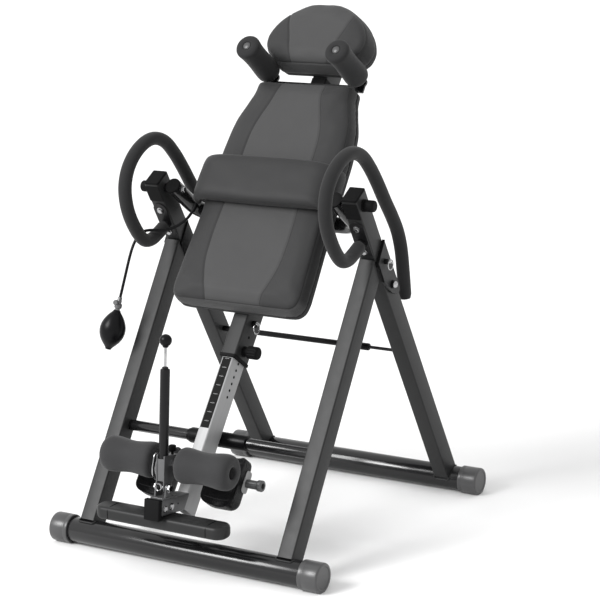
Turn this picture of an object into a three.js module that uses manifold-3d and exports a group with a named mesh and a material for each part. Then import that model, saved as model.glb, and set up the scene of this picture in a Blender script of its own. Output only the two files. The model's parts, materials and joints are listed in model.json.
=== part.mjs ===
// Inversion table: an A-frame that folds, a padded bed on a pivoting cradle, a sliding height tube
// with footrest and ankle clamps, and a hand pump for the lumbar band.
// Millimetres, +Z up. The user faces -Y; +X is on the right seen from the front.
// The origin is on the floor, below the centre of the whole object.
import * as THREE from 'three';
import { mergeVertices } from 'three/addons/utils/BufferGeometryUtils.js';
import Module from 'manifold-3d';

const wasm = await Module();
wasm.setup();

// ---- driving dimensions ----
const GAP = 0.3;
const ORIGIN_Y = -48.95;
const BASE_HALF_WIDTH = 365;
const BASE_Y = 392.4;
const BASE_R = 30;
const CAP_R = 34.3;
const BASE_Z = 33.3;
const CAP_LENGTH = 50;
const CAP_WALL = 8;
const LEG_X = 270.4;
const LEG_WIDTH = 40;
const LEG_DEPTH = 50;
const REAR_LEAN = THREE.MathUtils.degToRad(30.9);
const FRONT_LEAN = THREE.MathUtils.degToRad(-32.2);
const REAR_LEG_LENGTH = 925.5;
const PIVOT_ALONG = 898;
const FOLD_ALONG = 660;
const LOCK_ALONG = 731;
const PLATE = 3;
const WALL = 3;
const BED_LEAN = THREE.MathUtils.degToRad(-36);
const ARM_X = 222;
const ARM_R = 19;
const ARM_BEND = 42;
const CROSS_Y = 122;
const PIN_R = 5.9;
const PAD_FRONT = 37;
const PAD_BACK = 85;
const BOARD_BACK = 100.6;
const RECEIVER = { width: 40, front: 101, back: 167, bottom: -358, top: 500 };
const BOOM = { width: 30, front: 105, back: 163, bottom: -738, top: -180 };
const ROLLER_R = 41;
const ROLLER_WAIST = 36;
const ROLLER_IN = 33;
const ROLLER_OUT = 170;
const HEEL_Y = 139;
const HEEL_Z = -647;
const CUP_X = 89;
const SHOULDER_X = 123;
const SHOULDER_Z = 365.5;
const STOP_R = 13;
const STOP_SLEEVE_R = 18.5;
const FOOT_LEAN = THREE.MathUtils.degToRad(-7);
const LEVER_LEAN = THREE.MathUtils.degToRad(-4.5);

// ---- materials ----
const LOOKS = {
  frame: { color: 0x4b4c4e, roughness: 0.42, metalness: 0.6 },
  tube: { color: 0x2b2c2e, roughness: 0.25, metalness: 0.6 },
  plastic: { color: 0x161617, roughness: 0.55, metalness: 0.0 },
  foam: { color: 0x37383a, roughness: 0.9, metalness: 0.0 },
  pad: { color: 0x4a4b4d, roughness: 0.75, metalness: 0.0 },
  board: { color: 0x6a6b6d, roughness: 0.7, metalness: 0.0 },
  steel: { color: 0xb4b5b7, roughness: 0.35, metalness: 0.9 },
  chrome: { color: 0xd8d9db, roughness: 0.12, metalness: 1.0 },
  rubber: { color: 0x222324, roughness: 0.6, metalness: 0.0 },
};

// ---- helpers ----
function material(look) {
  return new THREE.MeshStandardMaterial(LOOKS[look]);
}

function at(geometry, x, y, z, turn = {}) {
  const euler = new THREE.Euler(turn.x ?? 0, turn.y ?? 0, turn.z ?? 0);
  const place = new THREE.Matrix4().makeRotationFromEuler(euler).setPosition(x, y, z);
  return geometry.clone().applyMatrix4(place);
}

function solid(geometry) {
  const bare = geometry.clone();
  bare.deleteAttribute('normal');
  bare.deleteAttribute('uv');
  const merged = mergeVertices(bare, 1e-4);
  return new wasm.Manifold(new wasm.Mesh({
    numProp: 3,
    vertProperties: new Float32Array(merged.attributes.position.array),
    triVerts: new Uint32Array(merged.index.array),
  }));
}

function shape(body) {
  const mesh = body.getMesh();
  const geometry = new THREE.BufferGeometry();
  geometry.setAttribute('position', new THREE.BufferAttribute(new Float32Array(mesh.vertProperties), 3));
  geometry.setIndex(new THREE.BufferAttribute(new Uint32Array(mesh.triVerts), 1));
  geometry.computeVertexNormals();
  return geometry;
}

function join(...pieces) {
  return shape(pieces.map(solid).reduce((sum, piece) => sum.add(piece)));
}

function cut(piece, ...tools) {
  return shape(tools.map(solid).reduce((rest, tool) => rest.subtract(tool), solid(piece)));
}

function box(x0, x1, y0, y1, z0, z1) {
  const geometry = new THREE.BoxGeometry(x1 - x0, y1 - y0, z1 - z0);
  return geometry.translate((x0 + x1) / 2, (y0 + y1) / 2, (z0 + z1) / 2);
}

// A rod along X, Y or Z from one coordinate to the other.
function rod(axis, radius, from, to, sides = 16) {
  const geometry = new THREE.CylinderGeometry(radius, radius, to - from, sides);
  geometry.translate(0, (from + to) / 2, 0);
  if (axis === 'x') geometry.rotateZ(-Math.PI / 2);
  if (axis === 'z') geometry.rotateX(Math.PI / 2);
  return geometry;
}

// The space a rod of this radius needs, with the gap all round its flats as well as its corners.
function hole(axis, radius, from, to, sides = 16) {
  return rod(axis, (radius + GAP) / Math.cos(Math.PI / sides), from, to, sides);
}

// A turned piece on the Z axis: [radius, height] pairs from bottom to top.
function turned(profile, sides = 20) {
  const points = [[0, profile[0][1]], ...profile, [0, profile.at(-1)[1]]];
  const outline = points.map(([radius, height]) => new THREE.Vector2(radius, height));
  return new THREE.LatheGeometry(outline, sides).rotateX(Math.PI / 2);
}

// A closed outline of [y, z] points, as thick as x0 to x1.
function sidePlate(outline, x0, x1, curveSegments = 6) {
  const flat = outline instanceof THREE.Shape ? outline : polygon(outline);
  const geometry = new THREE.ExtrudeGeometry(flat, { depth: x1 - x0, bevelEnabled: false, curveSegments });
  geometry.applyMatrix4(new THREE.Matrix4().set(0, 0, 1, x0, 1, 0, 0, 0, 0, 1, 0, 0, 0, 0, 0, 1));
  return geometry;
}

// A closed outline of [x, z] points, as thick as y0 to y1.
function frontPlate(outline, y0, y1) {
  const settings = { depth: y1 - y0, bevelEnabled: false, curveSegments: 5 };
  const geometry = new THREE.ExtrudeGeometry(outline, settings);
  return geometry.rotateX(Math.PI / 2).translate(0, y1, 0);
}

function polygon(points) {
  return new THREE.Shape(points.map(([u, v]) => new THREE.Vector2(u, v)));
}

// Both halves of an outline that is symmetric about x = 0, from its right-hand half.
function mirrored(half) {
  return [...half, ...half.slice().reverse().map(([x, z]) => [-x, z])];
}

// The same outline drawn in by a distance on every side.
function inset(outline, by) {
  const heights = outline.map(([, z]) => z);
  const middle = (Math.max(...heights) + Math.min(...heights)) / 2;
  const halfHeight = Math.max(...heights) - middle;
  const halfWidth = Math.max(...outline.map(([x]) => x));
  return outline.map(([x, z]) => [x * (1 - by / halfWidth), middle + (z - middle) * (1 - by / halfHeight)]);
}

// A closed body through a stack of equal outlines, front to back: [y, inset] for each layer.
function layered(outline, layers) {
  const rings = layers.map(([y, by]) => inset(outline, by).map(([x, z]) => [x, y, z]));
  const count = outline.length;
  const middle = (ring) => [0, ring[0][1], ring.reduce((sum, point) => sum + point[2], 0) / count];
  const corners = [...rings.flat(), middle(rings[0]), middle(rings.at(-1))].flat();
  const first = rings.length * count;
  const last = (rings.length - 1) * count;
  const faces = [];
  for (let i = 0; i < count; i++) {
    const next = (i + 1) % count;
    faces.push(first, i, next, first + 1, last + next, last + i);
    for (let k = 0; k < rings.length - 1; k++) {
      const [near, far] = [k * count, (k + 1) * count];
      faces.push(near + i, far + next, near + next, near + i, far + i, far + next);
    }
  }
  const geometry = new THREE.BufferGeometry();
  geometry.setAttribute('position', new THREE.BufferAttribute(new Float32Array(corners), 3));
  geometry.setIndex(faces);
  geometry.computeVertexNormals();
  return geometry;
}

// Round section of an even number of sides, carried along a smooth curve through the points.
function sweep(points, radius, sides, steps) {
  const path = new THREE.CatmullRomCurve3(points.map((p) => new THREE.Vector3(...p)), false, 'centripetal');
  return alongPath(path, radius, sides, steps);
}

function alongPath(extrudePath, radius, sides, steps) {
  const section = new THREE.Shape();
  section.absarc(0, 0, radius, 0, Math.PI * 2);
  const settings = { extrudePath, steps, curveSegments: sides / 2, bevelEnabled: false };
  return new THREE.ExtrudeGeometry(section, settings);
}

// A path with one straight run between each point and the next, and a ring of vertices at each.
class Waypoints extends THREE.Curve {
  constructor(points) {
    super();
    this.points = points.map((p) => new THREE.Vector3(...p));
  }

  getPoint(t) {
    const runs = this.points.length - 1;
    const place = THREE.MathUtils.clamp(t, 0, 1) * runs;
    const run = Math.min(Math.floor(place), runs - 1);
    return this.points[run].clone().lerp(this.points[run + 1], place - run);
  }

  getUtoTmapping(u) {
    return u;
  }
}

function piece(parent, name, geometry, look, place = [0, 0, 0]) {
  const mesh = new THREE.Mesh(geometry, material(look));
  mesh.name = name;
  mesh.position.set(...place);
  parent.add(mesh);
  return mesh;
}

function group(parent, y, z, lean) {
  const frame = new THREE.Group();
  frame.position.set(0, y, z);
  frame.rotation.x = lean;
  parent.add(frame);
  return frame;
}

const SIDES = [['left', -1], ['right', 1]];

// ---- shared frames: rear legs, front legs, bed, foot bracket and ankle lever ----
const table = new THREE.Group();
const floor = group(table, -ORIGIN_Y, 0, 0);
const rearLegs = group(floor, BASE_Y, BASE_Z, REAR_LEAN);
const frontLegs = group(floor, -BASE_Y, BASE_Z, FRONT_LEAN);
const pivotY = BASE_Y - PIVOT_ALONG * Math.sin(REAR_LEAN);
const pivotZ = BASE_Z + PIVOT_ALONG * Math.cos(REAR_LEAN);
const bed = group(floor, pivotY, pivotZ, BED_LEAN);
const FOOT_Y = -511;
const FOOT_Z = 171;
const foot = group(floor, FOOT_Y, FOOT_Z, FOOT_LEAN);
const HINGE_Y = -473;
const HINGE_Z = 208;
const lever = group(floor, HINGE_Y, HINGE_Z, LEVER_LEAN);

// Brings geometry drawn in one frame into another.
function between(geometry, from, to) {
  table.updateMatrixWorld(true);
  const step = new THREE.Matrix4().copy(to.matrixWorld).invert().multiply(from.matrixWorld);
  return geometry.clone().applyMatrix4(step);
}

// ---- base tubes ----
function capSection(radius) {
  const half = Math.acos(BASE_Z / radius);
  const section = new THREE.Shape();
  section.absarc(0, 0, radius, -Math.PI / 2 + half, Math.PI * 1.5 - half);
  return section;
}

function baseCap(side) {
  const outer = sidePlate(capSection(CAP_R), 0, CAP_LENGTH, 8);
  const sleeve = cut(outer, hole('x', BASE_R, -1, CAP_LENGTH - CAP_WALL, 20));
  return side > 0 ? sleeve : sleeve.rotateZ(Math.PI);
}

function baseTube(parent, name, y) {
  const half = BASE_HALF_WIDTH - CAP_WALL - GAP;
  const tube = cut(rod('x', BASE_R, -half, half, 20), rod('x', BASE_R - WALL, -half - 1, half + 1, 16));
  piece(parent, `${name}_tube`, tube, 'tube', [0, y, BASE_Z]);
  for (const [word, side] of SIDES) {
    const place = [side * (BASE_HALF_WIDTH - CAP_LENGTH), y, BASE_Z];
    piece(parent, `${name}_cap_${word}`, baseCap(side), 'plastic', place);
  }
}

// ---- rear legs, pivots and rear cross rod ----
function legTube(x, length) {
  const [half, deep] = [LEG_WIDTH / 2, LEG_DEPTH / 2];
  const bar = box(x - half, x + half, -deep, deep, 0, length);
  return cut(bar, box(x - half + WALL, x + half - WALL, WALL - deep, deep - WALL, -1, length + 1));
}

function rearLeg(side) {
  const x = side * LEG_X;
  const half = LEG_WIDTH / 2;
  const span = [x - half - 1, x + half + 1];
  return cut(legTube(x, REAR_LEG_LENGTH), hole('x', BASE_R, ...span, 20),
    at(hole('x', PIN_R, ...span, 12), 0, 0, PIVOT_ALONG),
    at(hole('x', PIN_R, ...span, 12), 0, 0, FOLD_ALONG));
}

// A pivot pin runs from the knob outside the leg into the cradle arm.
function pivotPin(side) {
  const outside = LEG_X + LEG_WIDTH / 2 + GAP;
  const pin = join(rod('x', PIN_R, ARM_X - 12, outside + 4, 12), rod('x', 13.5, outside, outside + 29, 18));
  return side > 0 ? pin : pin.rotateZ(Math.PI);
}

function rearCap() {
  return join(box(-20, 20, -25, 25, GAP, 4.5), box(-16.5, 16.5, -21.5, 21.5, -9, 1));
}

const ROD_Y = 168;
const ROD_Z = 409;
const ROD_R = 4;
const ROD_SLEEVE = { radius: 7, from: -249.6, to: 171 };

function rearFrame() {
  baseTube(floor, 'rear_base', BASE_Y);
  const inner = LEG_X - LEG_WIDTH / 2 - GAP;
  for (const [word, side] of SIDES) {
    piece(rearLegs, `rear_leg_${word}`, rearLeg(side), 'frame');
    piece(rearLegs, `rear_leg_cap_${word}`, rearCap(), 'plastic', [side * LEG_X, 0, REAR_LEG_LENGTH]);
    piece(bed, `pivot_pin_${word}`, pivotPin(side), 'plastic');
  }
  piece(floor, 'rear_cross_rod', rod('x', ROD_R, -inner, inner, 10), 'tube', [0, ROD_Y, ROD_Z]);
  const sleeve = join(rod('x', ROD_SLEEVE.radius, ROD_SLEEVE.from, ROD_SLEEVE.to, 14),
    rod('x', ROD_SLEEVE.radius + 2, ROD_SLEEVE.to - 22, ROD_SLEEVE.to + 1, 14));
  const bored = cut(sleeve, hole('x', ROD_R, ROD_SLEEVE.from - 1, ROD_SLEEVE.to + 3, 10));
  piece(floor, 'rear_cross_sleeve', bored, 'rubber', [0, ROD_Y, ROD_Z]);
}

// ---- handles: a foam-covered loop on a plate bolted to the front of each rear leg ----
const HANDLE_R = 16;
const HANDLE_PLATE = { bottom: 770, top: 850, half: 19, seat: 806 };
const HANDLE_PATH = [
  [-78, 695], [-108, 684], [-135, 686], [-158, 703], [-189, 745], [-205, 783], [-209, 825],
  [-196, 864], [-166, 897], [-124, 919], [-84, 924], [-42, 911], [-5, 880], [30, 840],
  [66, 793], [100, 751], [127, 712], [145, 668], [156, 612], [166, 542],
];

function handleGrip(x) {
  const start = [-LEG_DEPTH / 2 - PLATE - 2 * GAP, HANDLE_PLATE.seat];
  const seat = new THREE.Vector3(0, start[0], start[1]).applyEuler(new THREE.Euler(REAR_LEAN, 0, 0));
  const first = [x, BASE_Y + seat.y, BASE_Z + seat.z];
  return sweep([first, ...HANDLE_PATH.map(([y, z]) => [x, y, z])], HANDLE_R, 10, 26);
}

function handlePlate() {
  const { bottom, top, half } = HANDLE_PLATE;
  const outline = new THREE.Shape();
  outline.moveTo(-half, bottom);
  outline.lineTo(half, bottom);
  outline.lineTo(half, top);
  outline.absarc(0, top, half, 0, Math.PI);
  const front = -LEG_DEPTH / 2 - GAP;
  return frontPlate(outline, front - PLATE, front);
}

function handles() {
  for (const [word, side] of SIDES) {
    const x = side * LEG_X;
    piece(rearLegs, `handle_plate_${word}`, handlePlate(), 'frame', [x, 0, 0]);
    const plateFront = -LEG_DEPTH / 2 - PLATE - 2 * GAP;
    const keepOut = between(box(x - 30, x + 30, plateFront, 30, 740, 870), rearLegs, floor);
    piece(floor, `handle_grip_${word}`, cut(handleGrip(x), keepOut), 'foam');
  }
}

// ---- front frame: base, legs, fold brackets, stop bar, fold bolts and ring pins ----
function frontLeg(side) {
  const x = side * LEG_X;
  const half = LEG_WIDTH / 2;
  const front = -LEG_DEPTH / 2 - PLATE - 2 * GAP;
  const keepOut = between(box(x - 40, x + 40, front - GAP, 300, 500, 1100), rearLegs, frontLegs);
  return cut(legTube(x, 800), hole('x', BASE_R, x - half - 1, x + half + 1, 20), keepOut, stopSpace());
}

// Each bracket is a U around the rear leg: a web in front of it and a cheek on each side.
function foldBracket() {
  const gapY = -LEG_DEPTH / 2 - GAP;
  const wall = LEG_WIDTH / 2 + GAP;
  const cheek = [[gapY - PLATE, 745], [24, 773], [24, 632], [4, 622], [-12, 640], [gapY - PLATE, 690]];
  const web = box(-wall - PLATE, wall + PLATE, gapY - PLATE, gapY, 690, 745);
  const body = join(web, sidePlate(cheek, wall, wall + PLATE), sidePlate(cheek, -wall - PLATE, -wall));
  const bolt = at(hole('x', PIN_R, -40, 40, 12), 0, 0, FOLD_ALONG);
  return cut(body, bolt, at(hole('x', 4, -40, 40, 10), 0, 0, LOCK_ALONG));
}

function foldBolt(side) {
  const out = LEG_X + LEG_WIDTH / 2 + PLATE + 2 * GAP;
  const inner = LEG_X - LEG_WIDTH / 2 - PLATE - 2 * GAP;
  const bolt = join(rod('x', PIN_R, inner - 5, out + 2, 12), rod('x', 10, out, out + 3, 14),
    rod('x', 8.5, out + 2.5, out + 9, 6), rod('x', 8.5, inner - 6, inner, 6));
  return side > 0 ? bolt : bolt.rotateZ(Math.PI);
}

// A spring pin's stem ends just outside the leg; a ring on its head pulls it out.
function ringPin(stemFrom, collarFrom, side, ring = 12) {
  const loop = new THREE.TorusGeometry(ring, 1.6, 5, 12);
  loop.rotateY(Math.PI / 2).translate(collarFrom + 12, 0, -ring + 3);
  const stem = rod('x', 4, stemFrom, collarFrom + 14, 10);
  const pin = join(stem, rod('x', 8, collarFrom, collarFrom + 8, 14), loop);
  return side > 0 ? pin : pin.rotateZ(Math.PI);
}

const STOP_Y = 182.3;
const STOP_S = -542;

function stopAxis() {
  const point = new THREE.Vector3(0, STOP_Y, STOP_S).applyEuler(new THREE.Euler(BED_LEAN, 0, 0));
  return [pivotY + point.y, pivotZ + point.z];
}

// The bar passes through the inner wall of each front leg and ends inside it.
const STOP_REACH = LEG_X + 8;

function stopSpace() {
  const [y, z] = stopAxis();
  return between(at(hole('x', STOP_R, -STOP_REACH - 1, STOP_REACH + 1, 16), 0, y, z), floor, frontLegs);
}

function frontFrame() {
  baseTube(floor, 'front_base', -BASE_Y);
  const [stopY, stopZ] = stopAxis();
  for (const [word, side] of SIDES) {
    const x = side * LEG_X;
    piece(frontLegs, `front_leg_${word}`, frontLeg(side), 'frame');
    piece(rearLegs, `fold_bracket_${word}`, foldBracket(), 'frame', [x, 0, 0]);
    piece(rearLegs, `fold_bolt_${word}`, foldBolt(side), 'chrome', [0, 0, FOLD_ALONG]);
    const skin = LEG_X + LEG_WIDTH / 2 + GAP;
    piece(rearLegs, `fold_lock_pin_${word}`, ringPin(skin + 0.1, skin + PLATE + 2 * GAP, side), 'chrome',
      [0, 0, LOCK_ALONG]);
  }
  piece(floor, 'stop_bar', rod('x', STOP_R, -STOP_REACH, STOP_REACH, 16), 'tube', [0, stopY, stopZ]);
  const sleeve = join(rod('x', STOP_SLEEVE_R, -78, 78, 18), rod('x', STOP_SLEEVE_R - 3, -84, -77, 18));
  const bored = cut(sleeve, hole('x', STOP_R, -90, 90, 16));
  piece(floor, 'stop_sleeve', bored, 'rubber', [0, stopY, stopZ]);
}

// ---- bed: cradle, main tube, boards and pads ----
function cradleRoute(front) {
  const bendSteps = 4;
  const right = [[ARM_X, front]];
  for (let i = 0; i <= bendSteps; i++) {
    const turn = (i / bendSteps) * Math.PI / 2;
    const x = ARM_X - ARM_BEND + ARM_BEND * Math.cos(turn);
    right.push([x, CROSS_Y - ARM_BEND + ARM_BEND * Math.sin(turn)]);
  }
  const left = right.slice().reverse().map(([x, y]) => [-x, y]);
  return new Waypoints([...right, ...left].map(([x, y]) => [x, y, 0]));
}

function cradle() {
  const bosses = SIDES.map(([, side]) => {
    const ends = [side * (ARM_X + 10), side * (LEG_X - LEG_WIDTH / 2 - 2 * GAP)].sort((a, b) => a - b);
    return rod('x', 12, ...ends, 14);
  });
  const reach = ARM_X + 40;
  const bores = [hole('x', PIN_R, -reach, -ARM_X + 14, 12), hole('x', PIN_R, ARM_X - 14, reach, 12)];
  const [outer, inner] = [cradleRoute(-14), cradleRoute(-15)];
  const runs = outer.points.length - 1;
  const inside = alongPath(inner, ARM_R - WALL, 10, runs);
  return cut(join(alongPath(outer, ARM_R, 14, runs), ...bosses), inside, ...bores);
}

function mainTube() {
  const { width, front, back, bottom, top } = RECEIVER;
  const outer = box(-width / 2, width / 2, front, back, bottom, top);
  const bore = box(-15.5, 15.5, BOOM.front - 0.5, BOOM.back + 0.5, bottom - 1, top - WALL);
  const pinHole = at(hole('x', 4, 10, 40, 10), 0, 134, -338);
  const ringHole = at(hole('x', 4, 10, 40, 10), 0, 134, -267);
  return cut(outer, bore, at(hole('x', ARM_R, -30, 30, 16), 0, CROSS_Y, 0), pinHole, ringHole);
}

function tubeCollar() {
  const outer = box(-22.5, 22.5, RECEIVER.front - 2.5, RECEIVER.back + 2.5, -366, RECEIVER.bottom - GAP);
  return cut(outer, box(-15.5, 15.5, BOOM.front - 0.5, BOOM.back + 0.5, -370, -350));
}

// Half outlines of the pads, from the bottom centre round the right side to the top.
const BACK_HALF = [
  [140, -257], [162, -250], [175, -230], [176, -200], [172, -100], [170, -40], [169, 40], [168, 116],
  [167, 150], [163, 196], [159, 221], [152, 243], [145, 262], [139, 281], [133.5, 297], [131, 314],
  [129, 325], [122, 331],
];
const HEAD_HALF = [
  [84, 378], [96, 384], [108, 394], [121, 403], [131, 414], [136, 430], [136, 446], [131, 462],
  [119, 487], [95, 513], [70, 532], [40, 546],
];

function boards() {
  for (const [name, half] of [['backrest_board', BACK_HALF], ['headrest_board', HEAD_HALF]]) {
    const outline = polygon(inset(mirrored(half), 6));
    piece(bed, name, frontPlate(outline, PAD_BACK + GAP, BOARD_BACK), 'board');
  }
}

function pads() {
  const back = [[PAD_FRONT, 16], [PAD_FRONT + 3, 8], [PAD_FRONT + 9, 2], [PAD_FRONT + 16, 0], [PAD_BACK, 0]];
  const head = [[22, 20], [26, 10], [34, 2], [42, 0], [PAD_BACK, 0]];
  piece(bed, 'backrest_pad', layered(mirrored(BACK_HALF), back), 'pad');
  piece(bed, 'headrest_pad', layered(mirrored(HEAD_HALF), head), 'pad');
}

// The lumbar band crosses the pad and wraps round both of its edges.
const BAND = { bottom: -13, top: 105, half: 190, inner: 177.5, front: -8, back: 58 };

function lumbarBand() {
  const { bottom, top, half, inner, front, back } = BAND;
  const outline = mirrored([[half - 6, bottom], [half, bottom + 8], [half, top - 50], [half - 18, top]]);
  const slab = layered(outline, [[front, 24], [front + 3, 13], [front + 10, 4], [front + 20, 0], [back, 0]]);
  return cut(slab, box(-inner, inner, PAD_FRONT - GAP, back + 1, bottom - 5, top + 5));
}

function shoulderBar() {
  const strip = box(-SHOULDER_X, SHOULDER_X, 93.4, BOARD_BACK, 336, 358);
  const ends = SIDES.flatMap(([, side]) => [
    box(side * SHOULDER_X - 13, side * SHOULDER_X + 13, 93.4, BOARD_BACK, 336, SHOULDER_Z),
    at(rod('y', 13, 93.4, BOARD_BACK, 14), side * SHOULDER_X, 0, SHOULDER_Z),
    at(rod('y', 7.5, -42, 96, 12), side * SHOULDER_X, 0, SHOULDER_Z),
  ]);
  return join(strip, ...ends);
}

// Flared foam roller, closed in front, with a blind bore for its post.
function shoulderFoam() {
  const outline = [
    [27, -75], [30, -68], [29.5, -40], [28, 0], [29.5, 36], [31, 48], [28, 56], [21, 57.5],
  ];
  const outer = turned(outline, 14);
  const bored = cut(outer, hole('z', 7.5, -80, 42 + GAP, 12));
  return bored.rotateX(Math.PI / 2);
}

// The fluted knob's stem passes the receiver wall and ends just outside the height tube.
function heightKnob() {
  const flutes = 10;
  const skin = RECEIVER.width / 2 + GAP;
  const knob = join(rod('x', 4, BOOM.width / 2 + 0.4, skin + 20, 10), rod('x', 11, skin, skin + 13, 16),
    at(turned([[13, 0], [15.5, 4], [15.5, 27], [13, 30]], flutes * 2), skin + 10, 0, 0, { y: Math.PI / 2 }));
  return knob;
}

function bedFrame() {
  piece(bed, 'cradle_tube', cradle(), 'tube');
  for (const [word, side] of SIDES) {
    piece(bed, `shoulder_foam_${word}`, shoulderFoam(), 'foam', [side * SHOULDER_X, 0, SHOULDER_Z]);
  }
  piece(bed, 'main_tube', mainTube(), 'frame');
  piece(bed, 'tube_collar', tubeCollar(), 'plastic');
  boards();
  pads();
  piece(bed, 'lumbar_band', lumbarBand(), 'pad');
  piece(bed, 'shoulder_bar', shoulderBar(), 'frame');
  piece(bed, 'height_knob', heightKnob(), 'plastic', [0, 134, -338]);
  const ring = ringPin(BOOM.width / 2 + 0.4, RECEIVER.width / 2 + GAP, 1, 13);
  piece(bed, 'storage_ring_pin', ring, 'chrome', [0, 134, -267]);
}

// ---- boom: height tube, foot bracket, footrest, heel axle and cups ----
function heightTube() {
  const { width, front, back, bottom, top } = BOOM;
  const bar = box(-width / 2, width / 2, front, back, bottom, top);
  const holes = [];
  for (let i = 0; i < 6; i++) {
    holes.push(at(rod('x', 2.6, width / 2 - 4, width / 2 + 2, 8), 0, 134, -370 - 16.8 * i));
  }
  const axle = at(hole('x', 10, -30, 30, 14), 0, HEEL_Y, HEEL_Z);
  const inside = box(WALL - width / 2, width / 2 - WALL, front + WALL, back - WALL, bottom - 1, top + 1);
  return cut(bar, inside, axle, ...holes);
}

const FOOTREST_TOP = 147.6;
const FOOTREST_HALF = 15;

function footBracket() {
  const tube = box(-19, 19, 3, 150, -18, 18);
  const boomSpace = box(-40, 40, BOOM.front - GAP, 400, -900, -500);
  const rail = box(-17, 17, 8, 64, 17, 22);
  const ears = [box(11.5, 15.5, 22, 52, 18, 44), box(-15.5, -11.5, 22, 52, 18, 44)];
  const [y, z] = hingeInFoot();
  const bore = at(hole('x', PIN_R, -40, 40, 12), 0, y, z);
  const restSpace = between(box(-40, 40, -560, -445, 90, FOOTREST_TOP + GAP), floor, foot);
  return cut(join(tube, rail, ...ears), between(boomSpace, bed, foot), restSpace, bore);
}

function hingeInFoot() {
  const point = new THREE.Vector3(0, HINGE_Y - FOOT_Y, HINGE_Z - FOOT_Z);
  point.applyEuler(new THREE.Euler(-FOOT_LEAN, 0, 0));
  return [point.y, point.z];
}

function footrest() {
  const [half, depth, height, corner] = [173, 28, FOOTREST_HALF, 26];
  const outline = new THREE.Shape();
  outline.absarc(half - corner, corner - depth, corner, -Math.PI / 2, 0);
  outline.absarc(half - corner, depth - corner, corner, 0, Math.PI / 2);
  outline.absarc(corner - half, depth - corner, corner, Math.PI / 2, Math.PI);
  outline.absarc(corner - half, corner - depth, corner, Math.PI, Math.PI * 1.5);
  const round = 9;
  const geometry = new THREE.ExtrudeGeometry(outline, {
    depth: 2 * (height - round),
    bevelThickness: round,
    bevelSize: round,
    bevelOffset: -round,
    bevelSegments: 2,
    curveSegments: 4,
  });
  return geometry.translate(0, 0, -(height - round));
}

function heelAxle() {
  const reach = 177;
  const shaft = rod('x', 10, -reach, reach, 14);
  const collars = SIDES.map(([, side]) => {
    const ends = [side * (reach - 12), side * reach].sort((a, b) => a - b);
    return rod('x', 13, ...ends, 14);
  });
  const bores = [rod('x', 6, reach - 20, reach + 1, 12), rod('x', 6, -reach - 1, 20 - reach, 12)];
  return cut(join(shaft, ...collars), ...bores);
}

// Each heel cup is a padded trough along the leg, hollow in front and bored for the axle.
const CUP = { half: 44, lip: 41, front: 106, hollow: 124, back: 151, bottom: -714, top: -595 };

function heelCup(side) {
  const { half, lip, front, hollow, back, bottom, top } = CUP;
  const deep = hollow - front;
  const radius = (lip * lip + deep * deep) / (2 * deep);
  const start = Math.atan2(front - hollow + radius, lip);
  const outline = new THREE.Shape();
  outline.moveTo(-half, front);
  outline.lineTo(-half, back - 11);
  outline.lineTo(-half + 10, back);
  outline.lineTo(half - 10, back);
  outline.lineTo(half, back - 11);
  outline.lineTo(half, front);
  outline.absarc(0, hollow - radius, radius, start, Math.PI - start);
  outline.closePath();
  const settings = { depth: top - bottom, bevelEnabled: false, curveSegments: 8 };
  const trough = new THREE.ExtrudeGeometry(outline, settings).translate(side * CUP_X, 0, bottom);
  const reach = [side * CUP_X - half - 1, side * CUP_X + half + 1];
  return cut(trough, at(hole('x', 10, ...reach, 14), 0, HEEL_Y, HEEL_Z));
}

function boom() {
  piece(bed, 'height_tube', heightTube(), 'steel');
  piece(foot, 'foot_bracket', footBracket(), 'frame');
  const cap = join(box(-20.5, 20.5, -9, 2.6, -28, 20), box(-14, 14, -10.5, -8, -24, 16));
  piece(foot, 'foot_bracket_cap', cap, 'plastic');
  piece(floor, 'footrest_bar', footrest(), 'tube', [0, -478, FOOTREST_TOP - FOOTREST_HALF]);
  piece(bed, 'heel_axle', heelAxle(), 'steel', [0, HEEL_Y, HEEL_Z]);
  for (const [word, side] of SIDES) piece(bed, `heel_cup_${word}`, heelCup(side), 'foam');
}

// ---- ankle lever with its two front rollers ----
const AXLE_Y = 22;
const AXLE_Z = 52;
const BUTTON_Y = 34.5;
const BUTTON_Z = 74;

function leverYoke() {
  const cheek = new THREE.Shape();
  cheek.absarc(0, 0, 13, Math.PI, Math.PI * 2);
  cheek.lineTo(42, 36);
  cheek.lineTo(42, 70);
  cheek.lineTo(-12, 74);
  cheek.closePath();
  const cheeks = [sidePlate(cheek, 8, 11, 4), sidePlate(cheek, -11, -8, 4)];
  const web = box(-11, 11, -13, -10, 14, 74);
  const shelf = box(-11, 11, 26, 42, 64, 70);
  const bore = hole('x', PIN_R, -20, 20, 12);
  const stem = at(hole('z', 3, -20, 20, 10), 0, BUTTON_Y, BUTTON_Z);
  return cut(join(web, shelf, ...cheeks), bore, stem, at(hole('x', 9, -20, 20, 14), 0, AXLE_Y, AXLE_Z));
}

function leverTube() {
  const slim = 7.6;
  return join(rod('z', slim, 40, 76, 14), rod('z', 11, 75, 268, 16), rod('z', 3, 267, 322, 12),
    rod('z', 7, 267, 272, 14));
}

function leverKnob() {
  const ball = new THREE.SphereGeometry(14, 12, 8).rotateX(Math.PI / 2).translate(0, 0, 332);
  return cut(ball, hole('z', 3, 300, 322.4, 12));
}

function hingeBolt() {
  return join(rod('x', PIN_R, -19, 18, 12), rod('x', 10, 15.9, 22, 14), rod('x', 8.5, -22, -15.9, 6));
}

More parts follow.
